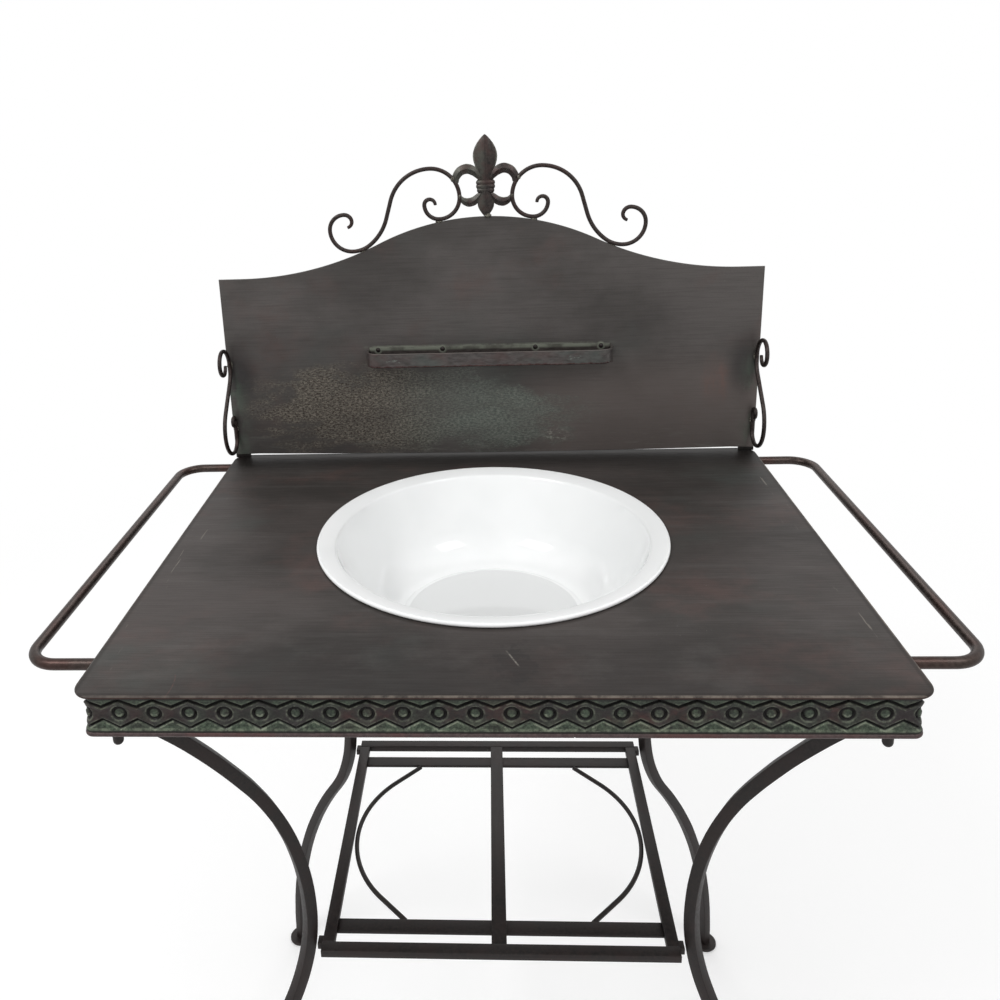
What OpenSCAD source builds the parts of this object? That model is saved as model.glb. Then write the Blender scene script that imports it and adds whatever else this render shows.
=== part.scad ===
// Iron wash basin stand: a sheet-topped table on four bowed legs, with a
// drop-in enamel basin, a scrolled back panel, a soap rail and two towel bars.
// Millimetres. The origin is on the floor at the middle of the table; the
// front faces -Y and +Z is up.

/* [Table] */
// Width of the tabletop over its rolled edge
table_w = 660; // [600:5:760]
// Depth of the tabletop over its rolled edge
table_d = 520; // [480:5:600]
// Height of the tabletop's upper face above the floor
table_h = 760; // [720:5:820]
// Thickness of the tabletop sheet
top_t = 2; // [1.5:0.5:3]
// Diameter of the rolled edge round the tabletop
bead_d = 3; // [2.5:0.5:6]
// Outer radius of the tabletop's corners
top_corner_r = 18; // [9:1:19]

/* [Apron] */
// How far the apron band stands in from the tabletop's edge
apron_inset = 5.5; // [5:0.5:12]
// Height of the apron band
apron_h = 34; // [32:1:50]
// Thickness of the apron band
apron_t = 2; // [1.5:0.5:3]
// Outer bend radius at the apron's corners
apron_corner_r = 8; // [6:1:14]
// Length of the end of the front and back bands past each corner bend
apron_return = 10; // [6:1:30]
// Distance from one embossed hexagon to the next
hex_pitch = 28; // [24:1:40]
// Height of an embossed hexagon from peak to peak
hex_h = 25; // [20:1:28]
// Depth of the hexagons' middle line below the tabletop's upper face
hex_drop = 20.5; // [19:0.5:22]
// Height of the neck between two hexagons
neck_h = 11.5; // [6:0.5:16]
// Height of the embossing
emboss = 0.8; // [0.5:0.1:1.2]
// Diameter of the round boss in each hexagon
boss_d = 7.5; // [6:0.5:10]
// Width of the groove round each boss
boss_groove = 1.6; // [1:0.2:2.4]
// Diameter of the rod under the apron band
rim_rod_d = 5; // [4:0.5:8]
// How far the rod's middle stands in from the band's outer face
rim_set = 2; // [0:0.5:2.5]
// Width of the open joint where the ends of the rim rod meet
rim_joint = 1; // [0.5:0.5:3]
// Distance of that joint from the middle of the front
rim_joint_x = 62; // [20:1:200]

/* [Basin] */
// Diameter of the basin over its rim
basin_d = 360; // [320:5:380]
// Width of the basin's flat rim
flange_w = 19; // [14:1:26]
// Depth of the basin below the tabletop's upper face
basin_depth = 90; // [70:5:120]
// Diameter of the flat part of the basin's floor
floor_d = 184; // [150:2:200]
// Inside radius between the basin's wall and floor
bowl_r = 50; // [30:2:55]
// Thickness of the enamelled sheet
basin_t = 2; // [1.5:0.5:3]
// Diameter of the rolled edge of the rim
rim_d = 4; // [3:0.5:6]
// Distance of the basin's middle behind the table's middle
basin_back = 15; // [0:1:30]
// Clearance all round between the basin and the hole in the tabletop
hole_gap = 2; // [1:0.5:4]

/* [Legs] */
// Thickness of the square leg bar
leg_bar = 12; // [10:1:16]
// Distance of a leg's upper end from each edge of the tabletop
leg_inset = 31; // [26:1:40]
// Depth of the waist, where the legs come closest, below the tabletop
waist_drop = 325; // [300:5:350]
// Bend radius of the leg just under the apron
leg_r_top = 700; // [600:10:900]
// Bend radius of the leg above the waist
leg_r_upper = 320; // [280:5:340]
// Lean of the leg where those two bends meet
leg_lean_upper = 32; // [28:1:34]
// Bend radius of the leg below the waist
leg_r_lower = 190; // [170:5:230]
// Greatest lean of the leg below the waist
leg_lean_lower = 36; // [30:1:38]
// Diameter of the round pad under each leg
pad_d = 34; // [24:1:44]
// Thickness of that pad
pad_t = 4; // [3:0.5:8]

/* [Leg fixings] */
// Length of the two straight sides of a corner plate
gusset_leg = 84; // [70:1:100]
// Thickness of a corner plate
gusset_t = 3; // [2:0.5:5]
// Diameter of the stud that clamps the top to a corner plate
stud_d = 5; // [4:0.5:6]
// Distance of a stud's axis from the inner face of the side band
stud_inset = 21.5; // [18:0.5:30]
// Diameter of the domed nut
nut_d = 8.5; // [8:0.5:11]
// Height of the round collar of the domed nut
nut_h = 14; // [6:0.5:18]
// Gap between a domed nut and the rod under the band
nut_gap = 0.5; // [0.3:0.1:3]

/* [Lower shelf] */
// Depth of the shelf's upper face below the tabletop
shelf_drop = 360; // [350:5:380]
// Width of the bars that frame the shelf
frame_w = 12; // [10:1:18]
// Height of the bars that frame the shelf
frame_h = 8; // [7:1:12]
// How far the frame reaches past the legs' middles, front and back
shelf_overhang = 14; // [12:1:30]
// Gap between a leg and the shelf frame, closed by a lug
lug_gap = 5; // [3:0.5:12]
// Width of a lug
lug_w = 10; // [8:1:16]
// Width of a cross slat
slat_w = 16; // [12:1:24]
// Thickness of a cross slat
slat_t = 3; // [2:0.5:4]
// Open space between an end bar of the frame and the slat next to it
slat_gap = 15; // [8:1:40]
// Width of the middle bar that lies across the slats
middle_w = 15; // [10:1:24]
// Thickness of the middle bar
middle_t = 4; // [3:0.5:5]
// Gap between the bow of a strap and the side bar beside it
strap_gap = 1; // [0.5:0.5:6]
// Length of the straight end of a bowed strap
strap_end = 40; // [20:2:60]

/* [Back panel] */
// Width of the back panel
panel_w = 658; // [580:2:660]
// Height of the panel's shoulders above the tabletop
shoulder_h = 232.5; // [200:0.5:260]
// Height of the panel's crown above the tabletop
crown_h = 300.5; // [275:0.5:340]
// Radius of the crown's curve
crown_r = 300; // [260:5:340]
// Distance from the middle to where the shoulder levels out
shoulder_x = 300; // [280:5:320]
// Thickness of the panel
panel_t = 2.5; // [1.5:0.5:4]
// Distance of the panel's front face in front of the tabletop's rear edge
panel_set = 10; // [8:0.5:20]
// Open gap under the panel
panel_gap = 4; // [3:0.5:8]
// Width of the tabs that stand the panel on the tabletop
tab_w = 19; // [12:1:40]

/* [Soap rail] */
// Length of the soap rail
rail_w = 300; // [200:10:360]
// Height of the rail's strip
rail_h = 17.5; // [14:0.5:30]
// Distance from the panel to the rail's front face
rail_reach = 27; // [22:1:60]
// Outer radius of the rail's corners
rail_corner_r = 16; // [8:1:20]
// Thickness of the rail's strip
rail_t = 2; // [1:0.5:3]
// Height of the strip's lower edge above the tabletop
rail_z = 123.5; // [90:0.5:160]
// Thickness of the tray's sheet
tray_t = 1.5; // [1:0.5:2.5]
// Distance from one drain hole of the tray to the next
drain_pitch = 27; // [20:1:34]
// Diameter of a drain hole
drain_d = 6; // [4:0.5:8]
// Diameter of a rivet's head
rivet_head_d = 6; // [5:0.5:8]
// Diameter of a rivet's shank
rivet_d = 3; // [2.5:0.5:4]
// Thickness of a rivet's head
rivet_head_h = 1.8; // [1:0.2:3]
// Distance of the outer rivets from the middle
rivet_x_outer = 137; // [90:1:140]
// Distance of the inner rivets from the middle
rivet_x_inner = 57; // [30:1:80]

/* [Scrollwork] */
// Diameter of the round rod in the scrolls
scroll_d = 5; // [4:0.5:6]
// Distance from the middle to the low point of a crest scroll's inner curl
crest_x = 56; // [54:0.5:60]
// Height of the finial
finial_h = 94; // [90:0.5:100]
// Thickness of the finial
finial_t = 7; // [5:0.5:10]
// Length of the three collar ribs on the finial
collar_w = 22; // [20:0.5:26]
// Height of a side scroll's low point above the tabletop
side_scroll_z = 12; // [3:0.5:14]

/* [Towel bars] */
// Diameter of the towel bars
towel_d = 10; // [8:0.5:14]
// Depth of a towel bar's middle below the tabletop's upper face
towel_drop = 10.5; // [9:0.5:14]
// Distance from the tabletop's edge to the middle of a towel bar
towel_reach = 65; // [50:1:90]
// Distance of the front arm from the tabletop's front edge
arm_front = 60; // [40:1:120]
// Distance of the rear arm from the tabletop's rear edge
arm_back = 20; // [18:1:120]
// Bend radius at the middle of the bar
towel_bend = 27; // [20:1:45]

/* [Hidden] */
$fn = 48;
fit = 0.3;        // gap between a round or loose piece and its seat
pin_gap = 0.1;    // radial clearance of a rivet or stud in its hole
bond = 0.2;       // how far raised embossing is sunk into its band
half_w = table_w / 2;
half_d = table_d / 2;
sides = [-1, 1];

// Apron band and rim rod
apron_x = half_w - apron_inset;             // outer faces of the band
apron_y = half_d - apron_inset;
apron_top = table_h - top_t;
apron_bottom = apron_top - apron_h;
apron_mid = table_h - hex_drop;
apron_in_r = apron_corner_r - apron_t;
rim_z = apron_bottom - fit - rim_rod_d / 2;
rim_x = apron_x - rim_set;
rim_y = apron_y - rim_set;
rim_r = apron_corner_r - rim_set;

// Corner plates, studs and nuts
inner_x = apron_x - apron_t;
inner_y = apron_y - apron_t;
gusset_z = apron_bottom + fit;
stud_x = inner_x - stud_inset;
stud_y = rim_y - rim_rod_d / 2 - nut_gap - nut_d / 2;

// Legs: each lies in an upright plane through the table's middle. Their bends
// are set out by distance from the middle and height above the floor.
leg_x = half_w - leg_inset;
leg_y = half_d - leg_inset;
leg_turn = atan2(leg_y, leg_x);
waist_z = table_h - waist_drop;
leg_rise = gusset_z - waist_z - leg_r_upper * sin(leg_lean_upper);
top_lean = asin(sin(leg_lean_upper) + leg_rise / leg_r_top);
waist_r = norm([leg_x, leg_y]) - leg_r_upper * (1 - cos(leg_lean_upper))
          - leg_r_top * (cos(leg_lean_upper) - cos(top_lean));
leg_r_foot = (waist_z - leg_r_lower * sin(leg_lean_lower) - pad_t) / sin(leg_lean_lower);
foot_r = waist_r + (leg_r_lower + leg_r_foot) * (1 - cos(leg_lean_lower));
foot_x = foot_r * cos(leg_turn);
foot_y = foot_r * sin(leg_turn);

// Lower shelf
shelf_z = table_h - shelf_drop;
shelf_leg_r = waist_r + leg_r_lower * (1 - cos(asin((waist_z - shelf_z) / leg_r_lower)));
leg_reach = leg_bar / 2 * (cos(leg_turn) + sin(leg_turn));
shelf_leg_x = shelf_leg_r * cos(leg_turn);
shelf_leg_y = shelf_leg_r * sin(leg_turn);
shelf_x = shelf_leg_x - leg_reach - lug_gap;
shelf_y = shelf_leg_y + shelf_overhang;
bay_x = shelf_x - frame_w;
bay_y = shelf_y - frame_w;
slat_y = bay_y - slat_gap - slat_w;         // slat's edge nearest the middle
slat_z = shelf_z - middle_t - slat_t;

// Back panel
panel_y = half_d - panel_set;               // front face
panel_z = table_h + panel_gap;
crest_y = panel_y + panel_t / 2;
shoulder_drop = crown_h - shoulder_h;
swing = 2 * atan2(shoulder_drop, shoulder_x);
shoulder_r = shoulder_x / sin(swing) - crown_r;
swing_x = crown_r * sin(swing);
crown_cz = table_h + crown_h - crown_r;
shoulder_cz = table_h + shoulder_h + shoulder_r;
function panel_edge(x) = crown_cz + sqrt(crown_r * crown_r - x * x);

// Soap rail
rail_bottom = table_h + rail_z;
rail_front = panel_y - rail_reach;
rail_in_r = rail_corner_r - rail_t;
rivet_z = rail_bottom + rail_h - 1;
rivet_xs = [-rivet_x_outer, -rivet_x_inner, rivet_x_inner, rivet_x_outer];
flange_top = rivet_z + rivet_head_d / 2;

// Basin section, measured from the tabletop's upper face
rim_r_out = (basin_d - rim_d) / 2;
mouth_r = basin_d / 2 - flange_w;
floor_r = floor_d / 2;
hole_r = mouth_r + basin_t + hole_gap;

// Scroll paths: [bend radius, turn] pairs, a radius of 0 being a straight run.
// A turn is positive to the left. The long sweeps turn by the angle of a
// 3-4-5 triangle or by twice that.
sweep = atan2(3, 4);
tip_r = 6.5;
curl_r = 17;
inner_r = 25;
ring_r = 34;
crest_path = [[tip_r, -180], [curl_r, -90], [inner_r, -90], [ring_r, -90], [50, -2 * sweep], [0, 21.5],
              [60, sweep], [35, sweep], [26, 90], [18, 90], [9, 2 * sweep], [7, 90]];
crest_low = panel_edge(crest_x) + scroll_d / 2 + fit + 0.5;
ring_x = crest_x - inner_r + ring_r;
ring_z = crest_low + inner_r;
side_path = [[9, -90], [14, -90], [15, -90], [27, -135], [0, 42], [36, 45],
             [33, 90], [15.5, 90], [0, 21], [6, 90], [5.5, 165]];
side_x = (panel_w - scroll_d) / 2 - 1.5;

// Places along a path, each [x, y, heading], for a path that starts along +X
function step_from(at, bend) =
    let (a = at[2], r = bend[0], turn = bend[1], side = sign(turn))
    r == 0 ? [at[0] + turn * cos(a), at[1] + turn * sin(a), a]
           : [at[0] + side * r * (sin(a + turn) - sin(a)),
              at[1] - side * r * (cos(a + turn) - cos(a)), a + turn];
function places(path, at = [0, 0, 0], i = 0) =
    i == len(path) ? [at] : concat([at], places(path, step_from(at, path[i]), i + 1));

// Towel bars
towel_z = table_h - towel_drop;
towel_x = half_w + towel_reach;
arm_y_front = -half_d + arm_front;
arm_y_back = half_d - arm_back;
arm_run = towel_x - apron_x - fit - towel_bend;
bar_run = arm_y_back - arm_y_front - 2 * towel_bend;

iron = [0.30, 0.28, 0.27];
dark_iron = [0.17, 0.14, 0.13];
red_iron = [0.36, 0.27, 0.25];
verdigris = [0.31, 0.36, 0.32];
enamel = [0.95, 0.96, 0.95];

// ---- Shared shapes ----

// A bar bent along a path in the XY plane, starting along +X. Its section is
// the child, drawn round the bar's middle line.
module bent_bar(path, i = 0) {
    if (i < len(path)) {
        r = path[i][0];
        turn = path[i][1];
        centre = [0, sign(turn) * r, 0];
        if (r == 0) {
            rotate([90, 0, 90]) linear_extrude(turn) children();
            translate([turn, 0, 0]) bent_bar(path, i + 1) children();
        } else translate(centre) {
            rotate([0, 0, turn > 0 ? -90 : 90 + turn])
                rotate_extrude(angle = abs(turn)) translate([r, 0]) children();
            rotate([0, 0, turn]) translate(-centre) bent_bar(path, i + 1) children();
        }
    }
}

// Points along an arc, without the first one where it joins another line
function arc(centre, r, from, to, steps, first = 0) =
    [for (i = [first : steps]) let (a = from + (to - from) * i / steps) centre + r * [cos(a), sin(a)]];

function backwards(points) = [for (i = [len(points) - 1 : -1 : 0]) points[i]];

// A rectangle with rounded corners, given by its half sizes
module round_rect(x, y, r) {
    square([2 * (x - r), 2 * y], center = true);
    square([2 * x, 2 * (y - r)], center = true);
    for (sx = sides, sy = sides) translate([sx * (x - r), sy * (y - r)]) circle(r);
}

// A round rod bent into a closed rectangle with rounded corners
module rod_loop(x, y, r, d) {
    for (sx = sides) translate([sx * x, 0, 0]) rotate([90, 0, 0])
        cylinder(d = d, h = 2 * (y - r), center = true);
    for (sy = sides) translate([0, sy * y, 0]) rotate([0, 90, 0])
        cylinder(d = d, h = 2 * (x - r), center = true);
    for (k = [0 : 3]) {
        sx = k == 0 || k == 3 ? 1 : -1;
        sy = k < 2 ? 1 : -1;
        translate([sx * (x - r), sy * (y - r), 0]) rotate([0, 0, 90 * k])
            rotate_extrude(angle = 90) translate([r, 0]) circle(d = d);
    }
}

// ---- Table ----

module tabletop() color(iron) {
    difference() {
        translate([0, 0, table_h - top_t]) linear_extrude(top_t)
            round_rect(half_w - bead_d / 2, half_d - bead_d / 2, top_corner_r - bead_d / 2);
        translate([0, basin_back, table_h - top_t - 1]) cylinder(r = hole_r, h = top_t + 2, $fn = 96);
    }
    translate([0, 0, table_h - bead_d / 2])
        rod_loop(half_w - bead_d / 2, half_d - bead_d / 2, top_corner_r - bead_d / 2, bead_d);
}

// A chain of hexagons, each with a round boss, along X in the XZ plane; the
// embossing stands up towards -Y from y = 0
module hexagon_chain(run) {
    count = floor(run / hex_pitch);
    start = -count * hex_pitch / 2;
    upper = [for (k = [0 : 2 * count]) [start + k * hex_pitch / 2, (k % 2 == 1 ? hex_h : neck_h) / 2]];
    lower = [for (k = [2 * count : -1 : 0]) [start + k * hex_pitch / 2, -(k % 2 == 1 ? hex_h : neck_h) / 2]];
    rotate([90, 0, 0]) translate([0, 0, -bond]) linear_extrude(emboss + bond)
        difference() {
            polygon(concat(upper, lower));
            for (k = [0 : count - 1]) translate([start + (k + 0.5) * hex_pitch, 0])
                difference() {
                    circle(d = boss_d + 2 * boss_groove);
                    circle(d = boss_d);
                }
        }
}

// Front or back band: a straight face with a bend and a short return at each end
module long_band() color(verdigris) {
    run = apron_x - apron_corner_r;
    translate([-run, -apron_y, apron_bottom]) cube([2 * run, apron_t, apron_h]);
    for (s = sides) {
        translate([s * run, -apron_y + apron_corner_r, apron_bottom])
            rotate([0, 0, s > 0 ? -90 : 180]) rotate_extrude(angle = 90)
                translate([apron_in_r, 0]) square([apron_t, apron_h]);
        translate([s > 0 ? apron_x - apron_t : -apron_x, -apron_y + apron_corner_r, apron_bottom])
            cube([apron_t, apron_return, apron_h]);
    }
    translate([0, -apron_y, apron_mid]) hexagon_chain(2 * run);
}

// Side band, between the returns of the front and back bands
module side_band() color(verdigris) {
    run = apron_y - apron_corner_r - apron_return;
    translate([apron_x - apron_t, -run, apron_bottom]) cube([apron_t, 2 * run, apron_h]);
    translate([apron_x, 0, apron_mid]) rotate([0, 0, 90]) hexagon_chain(2 * run);
}

module apron_front() long_band();
module apron_back() rotate([0, 0, 180]) long_band();
module apron_right() side_band();
module apron_left() rotate([0, 0, 180]) side_band();

// The rod under the band, bent all round, its ends meeting on the front
module rim_rod() color(red_iron) difference() {
    translate([0, 0, rim_z]) rod_loop(rim_x, rim_y, rim_r, rim_rod_d);
    translate([rim_joint_x - rim_joint / 2, -rim_y - rim_rod_d, rim_z - rim_rod_d])
        cube([rim_joint, 2 * rim_rod_d, 2 * rim_rod_d]);
}

// ---- Legs and their fixings ----

// A plate across a corner of the apron, drilled for the stud
module corner_plate(sx, sy) color(dark_iron) {
    x = inner_x - fit;
    y = inner_y - fit;
    corner = [for (p = [[x - apron_in_r, y], [x - gusset_leg, y], [x, y - gusset_leg], [x, y - apron_in_r]])
              [sx * p[0], sy * p[1]]];
    difference() {
        translate([0, 0, gusset_z]) linear_extrude(gusset_t) polygon(corner);
        translate([sx * stud_x, sy * stud_y, gusset_z - 1])
            cylinder(d = stud_d + 2 * pin_gap, h = gusset_t + 2);
    }
}

// Studs that hang from the tabletop through the corner plates
module corner_studs() color(dark_iron)
    for (sx = sides, sy = sides) translate([sx * stud_x, sy * stud_y, gusset_z - nut_h])
        cylinder(d = stud_d, h = apron_top - gusset_z + nut_h);

// Domed nuts on the studs, showing below the rod at the corners
module domed_nuts() color(dark_iron)
    for (sx = sides, sy = sides) translate([sx * stud_x, sy * stud_y, gusset_z - nut_h])
        difference() {
            union() {
                cylinder(d = nut_d, h = nut_h);
                intersection() {
                    sphere(d = nut_d);
                    translate([-nut_d, -nut_d, -nut_d]) cube([2 * nut_d, 2 * nut_d, nut_d]);
                }
            }
            cylinder(d = stud_d + 2 * pin_gap, h = nut_h + 1);
        }

// One long side of a leg, drawn from foot to top, a distance outside its middle line
function leg_side(out) =
    let (waist_mid = [waist_r + leg_r_lower, waist_z],
         upper_mid = [waist_r + leg_r_upper, waist_z],
         top_mid = upper_mid + (leg_r_top - leg_r_upper) * [cos(leg_lean_upper), -sin(leg_lean_upper)],
         top_end = 180 - asin((gusset_z - top_mid[1]) / (leg_r_top - out)))
    concat(arc([foot_r - leg_r_foot, pad_t], leg_r_foot + out, 0, leg_lean_lower, 14),
           arc(waist_mid, leg_r_lower - out, 180 + leg_lean_lower, 180, 10, 1),
           arc(upper_mid, leg_r_upper - out, 180, 180 - leg_lean_upper, 12, 1),
           arc(top_mid, leg_r_top - out, 180 - leg_lean_upper, top_end, 6, 1));

// A square bar bent in its upright plane and cut off level at both ends
module leg(sx, sy) color(dark_iron)
    rotate([0, 0, sx > 0 ? sy * leg_turn : 180 - sy * leg_turn])
        translate([0, leg_bar / 2, 0]) rotate([90, 0, 0]) linear_extrude(leg_bar)
            polygon(concat(leg_side(leg_bar / 2), backwards(leg_side(-leg_bar / 2))));

module leg_front_left() leg(-1, -1);
module leg_front_right() leg(1, -1);
module leg_back_left() leg(-1, 1);
module leg_back_right() leg(1, 1);

module pad(sx, sy) color(dark_iron)
    translate([sx * foot_x, sy * foot_y, 0]) cylinder(d = pad_d, h = pad_t);

module pad_front_left() pad(-1, -1);
module pad_front_right() pad(1, -1);
module pad_back_left() pad(-1, 1);
module pad_back_right() pad(1, 1);

module corner_plate_front_left() corner_plate(-1, -1);
module corner_plate_front_right() corner_plate(1, -1);
module corner_plate_back_left() corner_plate(-1, 1);
module corner_plate_back_right() corner_plate(1, 1);

// ---- Lower shelf ----

// End bar across the front or the back of the shelf
module shelf_end_bar(sy) color(dark_iron)
    translate([-shelf_x, sy > 0 ? bay_y : -shelf_y, shelf_z - frame_h])
        cube([2 * shelf_x, frame_w, frame_h]);

module shelf_bar_front() shelf_end_bar(-1);
module shelf_bar_back() shelf_end_bar(1);

// Side bar between the two end bars
module shelf_side_bar(sx) color(dark_iron)
    translate([sx > 0 ? bay_x : -shelf_x, -bay_y, shelf_z - frame_h])
        cube([frame_w, 2 * bay_y, frame_h]);

module shelf_bar_left() shelf_side_bar(-1);
module shelf_bar_right() shelf_side_bar(1);

// Flat slat let in between the side bars, lower than their top by the middle bar
module shelf_slat(sy) color(dark_iron)
    translate([-bay_x, sy > 0 ? slat_y : -slat_y - slat_w, slat_z])
        cube([2 * bay_x, slat_w, slat_t]);

module shelf_slat_front() shelf_slat(-1);
module shelf_slat_back() shelf_slat(1);

// Middle bar, front to back over both slats
module shelf_middle_bar() color(dark_iron)
    translate([-middle_w / 2, -bay_y, shelf_z - middle_t])
        cube([middle_w, 2 * bay_y, middle_t]);

// Round rod bowed out from slat to slat until it reaches the side bar
module shelf_strap(sx) color(dark_iron) {
    bow_r = (slat_y - fit) / sin(45) - strap_end;
    bow_out = strap_end * sin(45) + bow_r * (1 - cos(45));
    start_x = bay_x - strap_gap - scroll_d / 2 - bow_out;
    mirror([sx > 0 ? 0 : 1, 0, 0])
        translate([start_x, slat_y - fit, slat_z + slat_t - scroll_d / 2]) rotate([0, 0, -45])
            bent_bar([[0, strap_end], [bow_r, -90], [0, strap_end]]) circle(d = scroll_d);
}

module shelf_strap_left() shelf_strap(-1);
module shelf_strap_right() shelf_strap(1);

// Lugs that join the shelf's side bars to the legs
module shelf_lugs() color(dark_iron)
    for (sx = sides, sy = sides)
        translate([sx > 0 ? shelf_x : -shelf_x - lug_gap + fit, sy * shelf_leg_y - lug_w / 2,
                   shelf_z - frame_h])
            cube([lug_gap - fit, lug_w, frame_h]);

// ---- Basin ----

// One face of the bowl in half section: flat floor, round edge, leaning wall
function bowl_face(r_mouth, r_edge, depth) =
    let (centre = [floor_r, r_edge - depth],
         to_mouth = [r_mouth, 0] - centre,
         tangent = atan2(to_mouth[1], to_mouth[0]) - acos(r_edge / norm(to_mouth)))
    concat([[0, -depth]], arc(centre, r_edge, -90, tangent, 14), [[r_mouth, 0]]);

module basin() color(enamel) {
    seat = fit + rim_d / 2;                 // height of the rim's middle
    inside = bowl_face(mouth_r, bowl_r, basin_depth + seat);
    outside = [for (p = bowl_face(mouth_r + basin_t, bowl_r + basin_t, basin_depth + seat)) p - [0, basin_t]];
    rim = arc([rim_r_out, 0], rim_d / 2, 90, -180, 12);
    translate([0, basin_back, table_h + seat]) rotate_extrude($fn = 96)
        polygon(concat(inside, rim, backwards(outside)));
}

// ---- Back panel and crest ----

// Outline of the panel: a crown that turns smoothly into level shoulders
module panel_outline() {
    half = panel_w / 2;
    difference() {
        union() {
            translate([-half, panel_z]) square([panel_w, table_h + shoulder_h - panel_z]);
            translate([-shoulder_x, panel_z]) square([2 * shoulder_x, table_h + crown_h - panel_z]);
        }
        difference() {
            translate([-shoulder_x, table_h + shoulder_h])
                square([2 * shoulder_x, shoulder_drop + 1]);
            intersection() {
                translate([0, crown_cz]) circle(crown_r, $fn = 180);
                translate([-swing_x, 0]) square([2 * swing_x, 2 * table_h]);
            }
            for (s = sides) difference() {
                translate([s > 0 ? swing_x : -shoulder_x, table_h + shoulder_h])
                    square([shoulder_x - swing_x, crown_cz + crown_r * cos(swing) - table_h - shoulder_h]);
                translate([s * shoulder_x, shoulder_cz]) circle(shoulder_r, $fn = 180);
            }
        }
    }
}

module back_panel() color(iron) difference() {
    translate([0, panel_y + panel_t, 0]) rotate([90, 0, 0]) linear_extrude(panel_t) panel_outline();
    for (x = rivet_xs) translate([x, panel_y - 1, rivet_z]) rotate([-90, 0, 0])
        cylinder(d = rivet_d + 2 * pin_gap, h = panel_t + 2);
}

// Tabs between the panel's lower corners and the tabletop
module panel_tabs() color(iron)
    for (s = sides)
        translate([s > 0 ? panel_w / 2 - tab_w : -panel_w / 2, panel_y, table_h])
            cube([tab_w, panel_t, panel_gap]);

// One crest scroll, in the panel's plane, resting on the panel's edge
module crest_scroll() color(dark_iron) {
    low = places(crest_path, [0, 0, 90])[2];
    translate([crest_x - low[0], crest_y, crest_low - low[1]]) rotate([90, 0, 0])
        rotate([0, 0, 90]) bent_bar(crest_path) circle(d = scroll_d);
}

module crest_scroll_right() crest_scroll();
module crest_scroll_left() translate([0, 2 * crest_y, 0]) rotate([0, 0, 180]) crest_scroll();

// One side of the finial's petals, drawn to the right of its middle line. The
// heights are above the finial's foot: an upper and a lower curled petal, with
// the openings between them and the stem.
module petals() {
    difference() {
        union() {
            intersection() {
                union() {
                    translate([18.5, 45]) circle(17);
                    translate([26, 48.5]) circle(13.5);
                }
                translate([0, 36.5]) square(50);
            }
            intersection() {
                translate([16.5, 24.5]) circle(13.5);
                square([40, 27.5]);
            }
        }
        translate([21, 37.2]) circle(11.4);
        translate([19.5, 32]) circle(11);
    }
}

// Outline of the finial: a pointed leaf, two pairs of petals, a collar and a
// short lower leaf, trimmed where the crest scrolls pass
module finial_outline() {
    leaf_w = 14.4;                          // half width of the leaf
    leaf_z = 67.5;                          // height of its widest point
    stem_w = 8.5;
    tip = finial_h - leaf_z;
    leaf_r = (leaf_w * leaf_w + tip * tip) / (2 * leaf_w);
    intersection() {
        translate([leaf_r - leaf_w, leaf_z]) circle(leaf_r, $fn = 96);
        translate([leaf_w - leaf_r, leaf_z]) circle(leaf_r, $fn = 96);
        translate([-leaf_w, leaf_z]) square([2 * leaf_w, tip + 1]);
    }
    polygon([[-leaf_w, leaf_z], [leaf_w, leaf_z], [13, 60], [stem_w, 44], [stem_w, 20], [-stem_w, 20],
             [-stem_w, 44], [-13, 60]]);
    polygon([[-stem_w, 20], [stem_w, 20], [10.5, 14], [7, 6], [2.5, 0], [-2.5, 0], [-7, 6], [-10.5, 14]]);
    difference() {
        for (s = sides) mirror([s > 0 ? 0 : 1, 0]) petals();
        for (s = sides) translate([s * ring_x, ring_z - table_h - crown_h - fit])
            circle(ring_r + scroll_d / 2 + fit, $fn = 96);
    }
}

module finial() color(iron) translate([0, crest_y, table_h + crown_h + fit]) {
    translate([0, finial_t / 2, 0]) rotate([90, 0, 0]) linear_extrude(finial_t) finial_outline();
    for (z = [30, 35, 40]) translate([0, 0, z]) rotate([0, 90, 0])
        cylinder(d = finial_t + 2, h = collar_w, center = true);
}

// ---- Side scrolls ----

// One side scroll, standing out from the front of the panel near its edge. Its
// lowest and rearmost points are the ends of its seventh and eighth bends.
module side_scroll() color(dark_iron) {
    bends = places(side_path, [0, 0, -90]);
    rear = panel_y - fit - scroll_d / 2;
    low = table_h + side_scroll_z + scroll_d / 2;
    translate([side_x, rear - bends[8][0], low - bends[7][1]])
        rotate([90, 0, 90]) rotate([0, 0, -90]) bent_bar(side_path) circle(d = scroll_d);
}

module side_scroll_right() side_scroll();
module side_scroll_left() mirror([1, 0, 0]) side_scroll();

// ---- Soap rail ----

module soap_rail() color(red_iron) {
    half = rail_w / 2;
    run = half - rail_corner_r;
    depth = rail_reach - rail_corner_r;
    translate([-run, rail_front, rail_bottom]) cube([2 * run, rail_t, rail_h]);
    for (s = sides) {
        translate([s * run, rail_front + rail_corner_r, rail_bottom])
            rotate([0, 0, s > 0 ? -90 : 180]) rotate_extrude(angle = 90)
                translate([rail_in_r, 0]) square([rail_t, rail_h]);
        translate([s > 0 ? half - rail_t : -half, rail_front + rail_corner_r, rail_bottom])
            cube([rail_t, depth, rail_h]);
    }
}

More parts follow.
